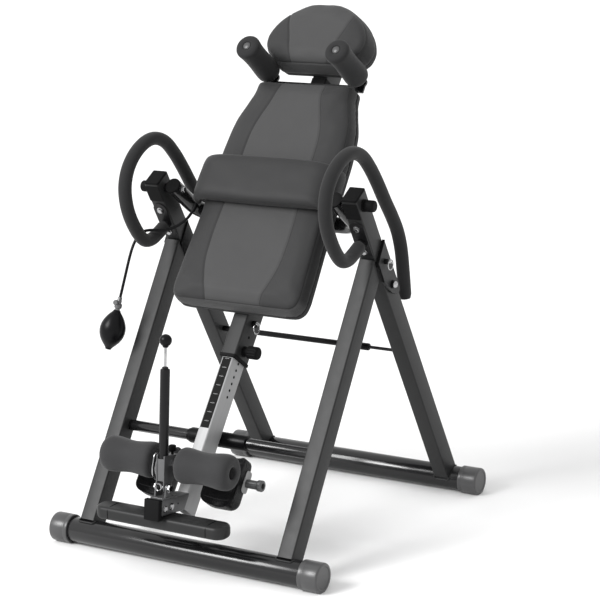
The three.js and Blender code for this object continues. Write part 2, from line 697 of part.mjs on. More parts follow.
// Spool-shaped foam, thicker at both ends, with the axle's bore through its inner end.
function ankleRoller(side) {
  const length = ROLLER_OUT - ROLLER_IN;
  const profile = [[33, 0], [39, 4], [ROLLER_R, 14], [ROLLER_WAIST + 2.5, 42], [ROLLER_WAIST, length * 0.47],
    [ROLLER_WAIST + 2.5, length - 46], [ROLLER_R, length - 18], [ROLLER_R - 2, length - 8], [30, length]];
  const foam = at(turned(profile, 16), ROLLER_IN, 0, 0, { y: Math.PI / 2 });
  const bored = cut(foam, hole('x', 9, 0, ROLLER_OUT - 12, 14));
  return side > 0 ? bored : bored.rotateZ(Math.PI);
}

function releaseButton() {
  return join(rod('z', 3, -12, 4, 10), turned([[6, 3], [8.5, 5], [8.5, 14], [6, 17]], 14));
}

function ankleLever() {
  piece(lever, 'lever_yoke', leverYoke(), 'steel');
  piece(lever, 'lever_tube', leverTube(), 'tube');
  piece(lever, 'lever_knob', leverKnob(), 'plastic');
  piece(lever, 'lever_hinge_bolt', hingeBolt(), 'chrome');
  const reach = ROLLER_OUT - 13;
  piece(lever, 'roller_axle', rod('x', 9, -reach, reach, 14), 'chrome', [0, AXLE_Y, AXLE_Z]);
  for (const [word, side] of SIDES) {
    piece(lever, `ankle_roller_${word}`, ankleRoller(side), 'foam', [0, AXLE_Y, AXLE_Z]);
  }
}

// ---- hand pump for the lumbar band: hose, valve and bulb ----
const HOSE_R = 3.5;
const HOSE_ROUTE = [
  [-184, -41.1, 767], [-185.5, -49, 755.5], [-190, -57.5, 743], [-197, -66.5, 731], [-207, -76, 721],
  [-219, -85.5, 713], [-232, -95, 708.3], [-246, -104.5, 707], [-259, -112.5, 707.8], [-271, -120, 707.4],
  [-282, -126.5, 704], [-291, -134, 694.5], [-296, -141, 681], [-299.4, -147.3, 666.5],
  [-302, -153.2, 650], [-304.2, -158.5, 633], [-306.5, -163.2, 615.4], [-309.1, -167.5, 597.8],
  [-311.9, -171.5, 580.2], [-314.9, -175.3, 562.6], [-318, -179, 545],
];
const BULB_PROFILE = [
  [8, 26.4], [14, 32], [24, 46], [31, 66], [31, 82], [27, 98], [17, 112], [9, 119], [7, 124],
];

function pump() {
  piece(floor, 'pump_hose', sweep(HOSE_ROUTE, HOSE_R, 8, 20), 'rubber');
  const end = new THREE.Vector3(...HOSE_ROUTE.at(-1));
  const along = end.clone().sub(new THREE.Vector3(...HOSE_ROUTE.at(-2))).normalize();
  const turn = new THREE.Quaternion().setFromUnitVectors(new THREE.Vector3(0, 0, 1), along);
  const valve = turned([[4.5, 0.4], [6, 3], [6, 10], [9, 12], [9, 20], [6, 22], [6, 26]], 14);
  const bulb = turned(BULB_PROFILE, 18);
  for (const [name, geometry, look] of [['pump_valve', valve, 'chrome'], ['pump_bulb', bulb, 'rubber']]) {
    piece(floor, name, geometry, look, end.toArray()).quaternion.copy(turn);
  }
}

rearFrame();
handles();
frontFrame();
bedFrame();
boom();
ankleLever();
piece(lever, 'release_button', releaseButton(), 'plastic', [0, BUTTON_Y, BUTTON_Z]);
pump();

export default table;
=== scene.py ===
import json
from functools import partial
from math import atan2, cos, pi, radians, sin, sqrt

import bmesh
import bpy
from mathutils import Matrix, Vector, noise


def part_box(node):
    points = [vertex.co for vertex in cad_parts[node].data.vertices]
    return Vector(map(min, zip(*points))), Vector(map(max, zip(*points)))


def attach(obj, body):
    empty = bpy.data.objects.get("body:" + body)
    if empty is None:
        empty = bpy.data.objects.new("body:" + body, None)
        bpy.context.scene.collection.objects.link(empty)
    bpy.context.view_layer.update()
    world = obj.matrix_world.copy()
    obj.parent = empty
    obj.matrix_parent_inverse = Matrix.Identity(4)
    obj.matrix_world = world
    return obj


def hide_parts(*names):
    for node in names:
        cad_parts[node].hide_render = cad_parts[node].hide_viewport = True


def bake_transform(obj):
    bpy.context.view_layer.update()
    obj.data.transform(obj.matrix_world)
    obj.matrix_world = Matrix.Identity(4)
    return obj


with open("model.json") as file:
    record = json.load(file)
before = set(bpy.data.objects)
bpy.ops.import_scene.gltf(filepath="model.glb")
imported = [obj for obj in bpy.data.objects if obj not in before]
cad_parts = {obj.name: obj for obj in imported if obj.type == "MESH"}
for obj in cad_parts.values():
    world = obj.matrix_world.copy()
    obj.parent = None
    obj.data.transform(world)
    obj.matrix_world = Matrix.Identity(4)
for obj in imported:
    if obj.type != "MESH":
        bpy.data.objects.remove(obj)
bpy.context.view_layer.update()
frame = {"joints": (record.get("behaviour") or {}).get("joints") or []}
JOINTS = {j["name"]: j for j in frame["joints"]}
SIDES = (("left", -1), ("right", 1))

# ---- dimensions, in millimetres in each piece's own frame ----
REAR_LEAN, FRONT_LEAN, BED_LEAN = radians(30.9), radians(-32.2), radians(-36)
FOOT_LEAN, LEVER_LEAN = radians(-7), radians(-4.5)
LEG_X, LEG_W, LEG_D, REAR_LEG_LENGTH = 270.4, 40, 50, 925.5
PIVOT, FOLD, LOCK = 898, 660, 731  # heights along the rear leg
BASE_R, CAP_R, BASE_Z, HALF_WIDTH = 30, 34.3, 33.3, 365
ARM_X, ARM_R, ARM_BEND, CROSS_Y = 222, 19, 42, 122  # the cradle's arms and its bar behind the bed
SHOULDER_X, SHOULDER_Z = 123, 365.5
PAD_FRONT, PAD_BACK = 37, 85
HEEL_Y, HEEL_Z = 139, -647
AXLE_Y, AXLE_Z = 22, 52  # the ankle rollers' axle, from the lever's hinge
TUBE_Y, KNOB_Z, RING_Z = 134, -338, -267  # the main tube's centre, the height knob and the storage pin
CUP_X = 89
PAD_VOXEL, QUICK_VOXEL = 5, 6  # the pads' grid for the cloth simulation, and a coarser grid
CLOTH_FRAMES, CLOTH_PRESSURE, EVENING_ROUNDS = 20, 4.0, 14


def middle(node):
    low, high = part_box(node)
    return (low + high) / 2


def frame_at(point, lean):
    """Local millimetres to the row frame's metres."""
    turn = Matrix.Rotation(lean, 4, "X")
    return Matrix.Translation((0, point[1], point[2])) @ turn @ Matrix.Scale(0.001, 4)


def joint_at(name):
    return Vector(JOINTS[name]["pos_m"])


SHIFT_Y = (middle("rear_base_tube").y + middle("front_base_tube").y) / 2
FLOOR = frame_at((0, SHIFT_Y, 0), 0)
REAR = frame_at(middle("rear_base_tube"), REAR_LEAN)
FRONT = frame_at(middle("front_base_tube"), FRONT_LEAN)
BED = frame_at(joint_at("bed_tilt"), BED_LEAN)
HINGE = joint_at("ankle_lever_swing")
LEVER = frame_at(HINGE, LEVER_LEAN)
FOOT = frame_at(HINGE + Vector((0, -0.038, -0.037)), FOOT_LEAN)


# ---- camera and light ----
def add(obj):
    bpy.context.scene.collection.objects.link(obj)
    return obj


def set_camera():
    yaw, pitch, roll = radians(-31.014), radians(-12.636), radians(-0.699)
    data = bpy.data.cameras.new("camera")
    data.lens, data.sensor_width = 119.96, 36
    camera = add(bpy.data.objects.new("camera", data))
    turn = Matrix.Rotation(-yaw, 4, "Z") @ Matrix.Rotation(pi / 2 + pitch, 4, "X")
    place = Matrix.Translation((2.4568, -3.9088, 1.58475))
    camera.matrix_world = place @ turn @ Matrix.Rotation(roll, 4, "Z")
    bpy.context.scene.camera = camera


def area_light(name, place, target, size, power):
    data = bpy.data.lights.new(name, "AREA")
    data.shape, data.size, data.energy = "DISK", size, power
    light = add(bpy.data.objects.new(name, data))
    light.location = place
    light.rotation_euler = (Vector(target) - Vector(place)).to_track_quat("-Z", "Y").to_euler()


def set_light():
    world = bpy.data.worlds.new("studio")
    bpy.context.scene.world = world
    world.use_nodes = True
    world.node_tree.nodes["Background"].inputs["Color"].default_value = (1, 1, 1, 1)
    world.node_tree.nodes["Background"].inputs["Strength"].default_value = 0.98
    data = bpy.data.lights.new("sun", "SUN")
    data.energy, data.angle = 2.6, radians(28)
    sun = add(bpy.data.objects.new("sun", data))
    sun.rotation_euler = Vector((2.2, 3.6, -3.0)).to_track_quat("-Z", "Y").to_euler()
    area_light("softbox", (-1.6, -3.4, 2.6), (0, 0, 0.6), 1.0, 40)
    bpy.context.scene.view_settings.view_transform = "Standard"


def make_floor(half=30):
    spots = [(x, y, 0) for x, y in corners(-half, half, -half, half)]
    floor = new_object("floor", spots, [(0, 1, 2, 3)])
    paper = surface("floor_paper", (0.83, 0.83, 0.83), 0.9, spec=0.05, mottle=(3, 0.004))
    floor.data.materials.append(paper)


# ---- materials ----
def feed(tree, socket, value):
    """Links a socket into another, or sets a plain value."""
    if isinstance(value, bpy.types.NodeSocket):
        tree.links.new(value, socket)
    else:
        socket.default_value = value


def node(tree, kind, **values):
    made = tree.nodes.new("ShaderNode" + kind)
    for key, value in values.items():
        if hasattr(made, key):
            setattr(made, key, value)
        else:
            feed(tree, made.inputs[key.replace("_", " ")], value)
    return made


def mix_colours(tree, factor, a, b):
    """The output of a colour mix. a and b are colours or sockets."""
    return node(tree, "Mix", data_type="RGBA", Factor=factor, A=a, B=b).outputs["Result"]


def shade(colour, factor):
    return tuple(min(1.0, c * factor) for c in colour) + (1.0,)


def coordinates(tree, stretch, lean):
    """Object coordinates in metres, turned with the bed or leg and scaled along its axes."""
    where = node(tree, "TexCoord").outputs["Object"]
    turned = node(tree, "Mapping", Vector=where, Rotation=(-lean, 0, 0)).outputs[0]
    return node(tree, "Mapping", Vector=turned, Scale=stretch).outputs[0]


def surface(name, colour, rough, metal=0.0, spec=0.5, coat=0.0, grain=None, mottle=(14, 0.06), rub=0.05,
        stretch=(1, 1, 1), lean=0.0, sheen=0.0, cells=False):
    """A material with mottled colour, uneven gloss and a fine relief, all from object coordinates.
    mottle is (scale, contrast), and grain is (scale, height in metres)."""
    made = bpy.data.materials.new(name)
    made.use_nodes = True
    tree = made.node_tree
    shader = tree.nodes["Principled BSDF"]
    for key, value in (("Metallic", metal), ("Specular IOR Level", spec), ("Coat Weight", coat),
            ("Coat Roughness", 0.15), ("Sheen Weight", sheen)):
        shader.inputs[key].default_value = value
    place = coordinates(tree, stretch, lean)
    scale, contrast = mottle
    clouds = node(tree, "TexNoise", Vector=place, Scale=scale, Detail=6.0, Roughness=0.6).outputs["Fac"]
    pale, dark = shade(colour, 1 + 2.5 * contrast), shade(colour, 1 - 2.5 * contrast)
    feed(tree, shader.inputs["Base Color"], mix_colours(tree, clouds, dark, pale))
    smudge = node(tree, "TexNoise", Vector=place, Scale=scale * 3.1, Detail=4.0).outputs["Fac"]
    gloss = node(tree, "MapRange", Value=smudge, To_Min=max(0.02, rough - rub), To_Max=min(1.0, rough + rub))
    feed(tree, shader.inputs["Roughness"], gloss.outputs["Result"])
    if grain:
        scale, height = grain
        if cells:
            relief = node(tree, "TexVoronoi", feature="SMOOTH_F1", Vector=place, Scale=scale, Smoothness=0.6)
        else:
            relief = node(tree, "TexNoise", Vector=place, Scale=scale, Detail=3.0, Roughness=0.65)
        relief = relief.outputs["Distance" if cells else "Fac"]
        bump = node(tree, "Bump", Strength=0.6, Distance=height, Height=relief)
        feed(tree, shader.inputs["Normal"], bump.outputs["Normal"])
    return made


def maths(tree, operation, a, b=None, clamp=False):
    made = node(tree, "Math", operation=operation, use_clamp=clamp)
    for socket, value in zip(made.inputs, (a, b)):
        if value is not None:
            feed(tree, socket, value)
    return made.outputs[0]


def upholstery(name, centre, side, edge, seam, front):
    """Two-tone padding: a centre panel between sewn seams and darker sides, with painted light and shade on
    the side walls behind the front seam: a paler grained strip along the bottom edge is painted light, and
    the darker grain above it is painted shade.
    seam is [(height, half width)...] in millimetres; front is the depth of the edge's seam in bed metres."""
    made = surface(name, centre, 0.62, spec=0.2, grain=(1100, 0.0004), cells=True, mottle=(9, 0.02),
        lean=BED_LEAN, rub=0.06, sheen=0.08)
    tree = made.node_tree
    calc = partial(maths, tree)
    pivot = joint_at("bed_tilt")
    where = node(tree, "TexCoord").outputs["Object"]
    shifted = node(tree, "VectorMath", operation="SUBTRACT")
    feed(tree, shifted.inputs[0], where)
    feed(tree, shifted.inputs[1], (0, pivot.y, pivot.z))
    place = node(tree, "Mapping", Vector=shifted.outputs[0], Rotation=(-BED_LEAN, 0, 0)).outputs[0]
    x, y, z = node(tree, "SeparateXYZ", Vector=place).outputs
    low, high = seam[0][0] / 1000, seam[-1][0] / 1000
    height = node(tree, "MapRange", Value=z, From_Min=low, From_Max=high)
    curve = node(tree, "FloatCurve")
    line = curve.mapping.curves[0]
    while len(line.points) < len(seam):
        line.points.new(0.5, 0.5)
    for point, (h, w) in zip(line.points, seam):
        point.location = ((h / 1000 - low) / (high - low), w / 250)
    curve.mapping.update()
    feed(tree, curve.inputs["Value"], height.outputs["Result"])
    gap = calc("SUBTRACT", calc("ABSOLUTE", x), calc("MULTIPLY", curve.outputs[0], 0.25))
    outside = calc("MULTIPLY", calc("ADD", gap, 0.0006), 800, clamp=True)
    behind = calc("MULTIPLY", calc("SUBTRACT", y, front), 250, clamp=True)
    stitch = calc("SUBTRACT", 1.0, calc("MULTIPLY", calc("ABSOLUTE", gap), 900), clamp=True)
    stitch = calc("MULTIPLY", stitch, calc("SUBTRACT", 1.0, behind))
    rim = calc("ABSOLUTE", calc("SUBTRACT", y, front))
    rim = calc("SUBTRACT", 1.0, calc("MULTIPLY", rim, 700), clamp=True)
    stitch = calc("MAXIMUM", stitch, rim)
    speckle = node(tree, "TexNoise", Vector=place, Scale=330.0, Detail=2.0).outputs["Fac"]
    # Painted light and shade on the side walls: the paler grained strip along the bottom edge is painted
    # light, and the darker grain above it is painted shade.
    pale = mix_colours(tree, speckle, shade(edge, 0.6), shade(edge, 1.4))
    dark = mix_colours(tree, speckle, shade(side, 0.3), shade(side, 0.9))
    # Mask for the painted shade: 0 on the bottom 22 mm, where the painted light lies, and 1 above it.
    shade_above_underside = calc("MULTIPLY", calc("SUBTRACT", z, low + 0.022), 60, clamp=True)
    lit_and_shaded_flank = mix_colours(tree, shade_above_underside, pale, dark)
    base = tree.nodes["Principled BSDF"].inputs["Base Color"]
    colour = base.links[0].from_socket
    for factor, other in ((outside, shade(side, 1)), (behind, lit_and_shaded_flank), (stitch, shade(side, 0.25))):
        colour = mix_colours(tree, factor, colour, other)
    feed(tree, base, colour)
    return made


def load_materials():
    look = {}
    look["frame"] = surface("frame_paint", (0.0175, 0.0177, 0.018), 0.4, spec=0.2, grain=(1400, 0.00012))
    look["tube"] = surface("gloss_paint", (0.008, 0.008, 0.0085), 0.18, spec=0.4, coat=0.12,
        mottle=(10, 0.08))
    look["steel"] = surface("satin_steel", (0.31, 0.311, 0.314), 0.42, metal=0.12, spec=0.4, lean=BED_LEAN,
        stretch=(1, 1, 0.08), mottle=(60, 0.05), grain=(1400, 0.00008))
    look["zinc"] = surface("bracket_steel", (0.12, 0.121, 0.123), 0.4, metal=0.6, grain=(900, 0.00008))
    look["chrome"] = surface("bright_chrome", (0.4, 0.4, 0.405), 0.13, metal=1.0, mottle=(90, 0.12), rub=0.06)
    look["cap"] = surface("cap_plastic", (0.055, 0.055, 0.056), 0.32, spec=0.45, grain=(1500, 0.0001))
    look["plastic"] = surface("black_plastic", (0.0028, 0.0028, 0.003), 0.68, spec=0.12, grain=(1600, 0.0001))
    look["foam"] = surface("grip_foam", (0.0165, 0.0165, 0.017), 0.8, spec=0.16, sheen=0.1,
        grain=(700, 0.0005), mottle=(40, 0.05))
    look["roller"] = surface("roller_foam", (0.027, 0.027, 0.028), 0.75, spec=0.16, sheen=0.12,
        grain=(800, 0.0004), mottle=(25, 0.04))
    look["rubber"] = surface("black_rubber", (0.0025, 0.0025, 0.003), 0.33, spec=0.14, mottle=(25, 0.05))
    look["cup"] = surface("cup_cloth", (0.0025, 0.0025, 0.003), 0.4, spec=0.14, grain=(300, 0.0016),
        cells=True)
    look["thread"] = surface("cup_thread", (0.03, 0.03, 0.031), 0.7, spec=0.15, mottle=(200, 0.1))
    look["plate"] = surface("plate_paint", (0.006, 0.006, 0.0065), 0.33, spec=0.22, grain=(1400, 0.00012))
    look["strip"] = surface("scale_strip", (0.013, 0.013, 0.013), 0.85, spec=0.06, mottle=(60, 0.08))
    look["board"] = surface("board_cloth", (0.045, 0.045, 0.0455), 0.85, spec=0.1, grain=(900, 0.0004),
        mottle=(330, 0.2))
    look["grey"] = surface("grey_plastic", (0.3, 0.3, 0.3), 0.5, spec=0.3, grain=(1200, 0.0001))
    look["ink"] = surface("scale_print", (0.3, 0.3, 0.3), 0.6, spec=0.1)
    look["dark"] = surface("hole_shadow", (0.003, 0.003, 0.003), 0.9, spec=0.05)
    # The third colour is the painted light on the pads' bottom edges; the side colour also gives the painted
    # shade on the side walls above them.
    look["pad"] = upholstery("back_leather", (0.043, 0.043, 0.0435), (0.0235, 0.0235, 0.024),
        (0.045, 0.045, 0.0455), BACK_SEAM, 0.0505)
    look["head"] = upholstery("head_leather", (0.043, 0.043, 0.0435), (0.0235, 0.0235, 0.024),
        (0.045, 0.045, 0.0455), HEAD_SEAM, 0.037)
    look["band"] = surface("band_leather", (0.0195, 0.0195, 0.02), 0.55, spec=0.2, grain=(1100, 0.0004),
        cells=True, sheen=0.08, mottle=(9, 0.03))
    return look


# ---- shapes: each is (vertices, faces) in local millimetres ----
def merged(*shapes):
    verts, faces = [], []
    for v, f in shapes:
        start = len(verts)
        verts += [Vector(p) for p in v]
        faces += [tuple(i + start for i in face) for face in f]
    return verts, faces


def moved(shape, x=0.0, y=0.0, z=0.0, turn=None):
    verts = [Vector(p) for p in shape[0]]
    if turn is not None:
        verts = [turn @ p for p in verts]
    return [p + Vector((x, y, z)) for p in verts], shape[1]


def loft(rings, closed=False):
    """A skin through equal rings of points, with flat ends unless the last ring joins the first."""
    count = len(rings[0])
    verts = [Vector(p) for ring in rings for p in ring]
    faces = []
    runs = len(rings) if closed else len(rings) - 1
    for k in range(runs):
        a, b = k * count, ((k + 1) % len(rings)) * count
        for i in range(count):
            j = (i + 1) % count
            faces.append((a + i, a + j, b + j, b + i))
    if not closed:
        faces.append(tuple(range(count - 1, -1, -1)))
        faces.append(tuple(range(len(verts) - count, len(verts))))
    return verts, faces


AXES = {"x": ((0, 1, 0), (0, 0, 1), (1, 0, 0)), "y": ((0, 0, 1), (1, 0, 0), (0, 1, 0)),
    "z": ((1, 0, 0), (0, 1, 0), (0, 0, 1))}


def turns(count):
    return [2 * pi * i / count for i in range(count)]


def lathe(profile, axis="z", at=(0, 0, 0), seg=40):
    """[(radius, height)...] turned about an axis through a point."""
    u, v, w = (Vector(a) for a in AXES[axis])
    rings = []
    for radius, height in profile:
        r = max(radius, 0.01)
        rings.append([Vector(at) + w * height + (u * cos(t) + v * sin(t)) * r for t in turns(seg)])
    return loft(rings)


def rounded_rod(radius, low, high, axis="x", at=(0, 0, 0), edge=1.0, seg=40):
    e = edge
    profile = [(radius - e, low), (radius - 0.3 * e, low + 0.3 * e), (radius, low + e), (radius, high - e),
        (radius - 0.3 * e, high - 0.3 * e), (radius - e, high)]
    return lathe(profile, axis, at, seg)


def rounded_rect(width, depth, radius, steps=5):
    points = []
    for k, (sx, sy) in enumerate(((1, 1), (-1, 1), (-1, -1), (1, -1))):
        cx, cy = sx * (width / 2 - radius), sy * (depth / 2 - radius)
        for i in range(steps + 1):
            t = (k + i / steps) * pi / 2
            points.append((cx + radius * cos(t), cy + radius * sin(t)))
    return points


def bar(section, low, high, at=(0, 0)):
    """A straight bar along local z. low and high are heights, or functions of (x, y)."""
    def level(end, x, y):
        return end(x, y) if callable(end) else end
    spots = [(x + at[0], y + at[1]) for x, y in section]
    return loft([[(x, y, level(end, x, y)) for x, y in spots] for end in (low, high)])


def between(a, b, start, end, t):
    return a * ((end - t) / (end - start)) + b * ((t - start) / (end - start))


def smooth_line(points, per=6):
    """Points on a centripetal Catmull-Rom curve through the given ones, per of them to a span."""
    p = [Vector(q) for q in points]
    p = [p[0] * 2 - p[1]] + p + [p[-1] * 2 - p[-2]]
    out = []
    for i in range(1, len(p) - 2):
        knots = [0.0]
        for a, b in zip(p[i - 1:i + 2], p[i:i + 3]):
            knots.append(knots[-1] + max((b - a).length, 1e-6) ** 0.5)
        for s in range(per):
            t = knots[1] + (knots[2] - knots[1]) * s / per
            a = [between(p[i - 1 + k], p[i + k], knots[k], knots[k + 1], t) for k in range(3)]
            b = [between(a[k], a[k + 1], knots[k], knots[k + 2], t) for k in range(2)]
            out.append(between(b[0], b[1], knots[1], knots[2], t))
    return out + [p[-2]]


def sweep(points, radius, seg=20, closed=False, rounding=0.0):
    """A round tube along points. rounding eases both ends over that length."""
    points = [Vector(p) for p in points]
    n = len(points)
    rings = []
    side = None
    travelled = [0.0]
    for a, b in zip(points, points[1:]):
        travelled.append(travelled[-1] + (b - a).length)
    for i, p in enumerate(points):
        if closed:
            ahead = points[(i + 1) % n] - points[i - 1]
        else:
            ahead = points[min(i + 1, n - 1)] - points[max(i - 1, 0)]
        ahead.normalize()
        if side is None:
            side = ahead.orthogonal().normalized()
        side = (side - ahead * side.dot(ahead)).normalized()
        up = ahead.cross(side)
        r = radius
        if rounding and not closed:
            near = min(travelled[i], travelled[-1] - travelled[i])
            if near < rounding:
                r = radius - rounding + sqrt(max(0.0, rounding ** 2 - (rounding - near) ** 2))
        rings.append([p + (side * cos(t) + up * sin(t)) * r for t in turns(seg)])
    return loft(rings, closed)


PLANES = {"yz": lambda u, v, w: (w, u, v), "xz": lambda u, v, w: (u, w, v), "xy": lambda u, v, w: (u, v, w)}


def plate(outline, low, high, plane="yz"):
    place = PLANES[plane]
    return loft([[place(u, v, w) for u, v in outline] for w in (low, high)])


def corners(u0, u1, v0, v1):
    """A rectangle, from its limits."""
    return [(u0, v0), (u1, v0), (u1, v1), (u0, v1)]


def both_ends(profile, half):
    """[(value, distance from an end)...] made into heights, from both ends of a shape 2 half long."""
    return [(v, d - half) for v, d in profile] + [(v, half - d) for v, d in reversed(profile)]


def arc(centre, radius, start, end, steps):
    return [(centre[0] + radius * cos(start + (end - start) * i / steps),
        centre[1] + radius * sin(start + (end - start) * i / steps)) for i in range(steps + 1)]


def hex_bolt(at, axis, head=8.5, tall=6, washer=10.5):
    """A bolt head on its washer, pointing along an axis such as x or -x from its seat."""
    disc = rounded_rod(washer, 0, 1.6, axis[-1], edge=0.4, seg=32)
    nut = lathe([(head - 0.2, 1.4), (head, 2.2), (head, tall - 1.2), (head * 0.88, tall)], axis[-1], seg=6)
    verts, faces = merged(disc, nut)
    if axis.startswith("-"):
        verts = [-p for p in verts]
    return moved((verts, faces), *at)


def facing(direction):
    """The turn that brings local z to a direction."""
    return Vector((0, 0, 1)).rotation_difference(direction).to_matrix()


def mirrored(shape, side):
    return [Vector((p.x * side, p.y, p.z)) for p in shape[0]], shape[1]


def squared(value, power):
    """A sine or cosine with its power lowered, for the outline of a rounded box."""
    return abs(value) ** power * (1 if value > 0 else -1)


# ---- pieces ----
LOOKS = {}


def new_object(name, verts, faces, look=None):
    mesh = bpy.data.meshes.new(name)
    mesh.from_pydata(verts, [], faces)
    if look:
        mesh.materials.append(LOOKS[look])
    return add(bpy.data.objects.new(name, mesh))


def finish_mesh(obj, angle):
    """Outward faces, with edges sharper than the angle kept crisp."""
    mesh = obj.data
    work = bmesh.new()
    work.from_mesh(mesh)
    bmesh.ops.remove_doubles(work, verts=work.verts, dist=1e-6)
    bmesh.ops.recalc_face_normals(work, faces=work.faces)
    for face in work.faces:
        face.smooth = True
    for edge in work.edges:
        if len(edge.link_faces) == 2 and edge.calc_face_angle(0) > angle:
            edge.smooth = False
    work.to_mesh(mesh)
    work.free()


def applied(obj):
    """Bakes the object's modifiers into its mesh."""
    graph = bpy.context.evaluated_depsgraph_get()
    graph.update()
    mesh = bpy.data.meshes.new_from_object(obj.evaluated_get(graph))
    obj.modifiers.clear()
    old = obj.data
    obj.data = mesh
    bpy.data.meshes.remove(old)
    return obj


def piece(place, body, name, shape, look, stands_for=(), bevel=0.0, angle=38, slot=None):
    """A visible piece from a shape in a place's millimetres, on a body."""
    obj = new_object(name, [place @ Vector(p) for p in shape[0]], shape[1], look)
    finish_mesh(obj, radians(angle))
    if bevel:
        rounding = obj.modifiers.new("bevel", "BEVEL")
        rounding.width, rounding.segments = bevel / 1000, 2
        rounding.limit_method, rounding.angle_limit = "ANGLE", radians(angle)
        applied(obj)
        finish_mesh(obj, radians(angle))
    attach(obj, body)
    if stands_for:
        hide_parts(*([stands_for] if isinstance(stands_for, str) else stands_for))
    return obj


# ---- pieces bound to the place and body that they share ----
on_bed = partial(piece, BED, "bed")
on_boom = partial(piece, BED, "boom")
on_rear = partial(piece, FLOOR, "rear_frame")
on_leg = partial(piece, REAR, "rear_frame")
on_bracket = partial(piece, REAR, "front_frame")
on_lever = partial(piece, LEVER, "ankle_lever")
on_cups = partial(piece, BED, "heel_cups")
on_foot = partial(piece, FOOT, "boom")


# ---- hand pump: hose, valve and bulb ----
HOSE_ROUTE = [(-184, -41.1, 767), (-185.5, -49, 755.5), (-190, -57.5, 743), (-197, -66.5, 731),
    (-207, -76, 721), (-219, -85.5, 713), (-232, -95, 708.3), (-246, -104.5, 707), (-259, -112.5, 707.8),
    (-271, -120, 707.4), (-282, -126.5, 704), (-291, -134, 694.5), (-296, -141, 681), (-299.4, -147.3, 666.5),
    (-302, -153.2, 650), (-304.2, -158.5, 633), (-306.5, -163.2, 615.4), (-309.1, -167.5, 597.8),
    (-311.9, -171.5, 580.2), (-314.9, -175.3, 562.6), (-318, -179, 545)]


def make_pump():
    line = smooth_line(HOSE_ROUTE, 5)
    end = line[-1]
    along = (Vector(HOSE_ROUTE[-1]) - Vector(HOSE_ROUTE[-2])).normalized()
    turn = facing(along)
    valve = merged(lathe([(3.6, -6), (5, -4), (5.4, 2), (6, 3), (6, 10), (8.6, 11), (9, 13), (9, 19),
        (8.6, 21), (6, 22), (6, 26)]), rounded_rod(3.2, 5, 17, "x", (0, 0, 7), 0.8, 20),
        lathe([(5.2, 14), (6.4, 15), (6.4, 21), (5.2, 22.5)], "x", (0, 0, 7), 10))
    valve = on_rear("pump_valve_body", moved(valve, *end, turn=turn), "zinc", "pump_valve", slot="chrome")
    profile = [(7, 26.2), (8.6, 28), (10, 31), (14, 35.5), (18.5, 41), (23, 48), (27, 56), (29.8, 64),
        (31, 72), (31, 79), (29.8, 87), (27, 95), (22.5, 103), (17, 110), (12, 115.5), (9, 119), (7.6, 121.5),
        (7, 123.4), (5.5, 124), (3, 123.6), (2.2, 121)]
    bulb = on_rear("pump_bulb_body", moved(lathe(profile, seg=56), *end, turn=turn), "rubber", "pump_bulb",
        angle=50)
    shape = sweep(line, 3.5, 16)
    hose = new_object("pump_hose_tube", [FLOOR @ Vector(p) for p in shape[0]], shape[1], "rubber")
    finish_mesh(hose, radians(50))
    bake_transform(hose)
    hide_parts("pump_hose")
    ferrule = lathe([(5.6, 0), (5.8, 1), (5, 12), (4.3, 22)], "z")
    out = Vector(HOSE_ROUTE[1]) - Vector(HOSE_ROUTE[0])
    piece(FLOOR, "bed", "hose_ferrule", moved(ferrule, *HOSE_ROUTE[0], turn=facing(out)), "rubber")


# ---- base tubes and end caps ----
def cap_ring(x, radius):
    """A circle whose underside is cut flat where it stands on the floor."""
    return [(x, radius * cos(t), max(radius * sin(t), -BASE_Z)) for t in turns(48)]


def make_base(which, body, y):
    half = HALF_WIDTH - 8.3
    tube = rounded_rod(BASE_R, -half, half, "x", (0, y, BASE_Z), 0.6, 56)
    piece(FLOOR, body, f"{which}_base_paint", tube, "tube", f"{which}_base_tube")
    for word, side in SIDES:
        inner = HALF_WIDTH - 50
        stations = [(inner, 30.6), (inner, 33.4), (inner + 0.8, 34.1), (inner + 2, CAP_R), (inner + 9, CAP_R),
            (inner + 10, 33.9), (inner + 11.5, 33.9), (inner + 12.5, CAP_R), (HALF_WIDTH - 4, CAP_R),
            (HALF_WIDTH - 1.6, 33.6), (HALF_WIDTH - 0.4, 32.2), (HALF_WIDTH, 30.5), (HALF_WIDTH, 27),
            (HALF_WIDTH - 1.4, 25.5), (HALF_WIDTH - 1.4, 3)]
        rings = [cap_ring(side * x, r) for x, r in stations]
        cap = moved(loft(rings), 0, y, BASE_Z)
        piece(FLOOR, body, f"{which}_cap_{word}_shell", cap, "cap", f"{which}_base_cap_{word}")


# ---- legs ----
def make_legs():
    section = rounded_rect(LEG_W, LEG_D, 3.5)
    for word, side in SIDES:
        x = side * LEG_X
        leg = bar(section, 24, REAR_LEG_LENGTH, (x, 0))
        weld = weld_bead(x)
        on_leg(f"rear_leg_{word}_bar", merged(leg, weld), "frame", f"rear_leg_{word}")
        cap = merged(bar(section, REAR_LEG_LENGTH + 0.2, REAR_LEG_LENGTH + 3, (x, 0)),
            bar(rounded_rect(LEG_W - 2.4, LEG_D - 2.4, 3), REAR_LEG_LENGTH + 3, REAR_LEG_LENGTH + 4.4,
            (x, 0)))
        on_leg(f"rear_leg_cap_{word}_lid", cap, "plastic", f"rear_leg_cap_{word}", bevel=0.5)
        top = leg_top()
        front = bar(section, 24, lambda px, py: top[0] + top[1] * py, (x, 0))
        piece(FRONT, "front_frame", f"front_leg_{word}_bar", merged(front, weld), "frame",
            f"front_leg_{word}")


def weld_bead(x):
    """The fillet where a leg's foot is welded round its base tube."""
    outline = rounded_rect(LEG_W + 2.4, LEG_D + 2.4, 5, 6)
    line = [(x + px, py, sqrt(max(0.0, (BASE_R + 0.8) ** 2 - py * py))) for px, py in outline]
    return sweep(line, 2.2, 8, closed=True)


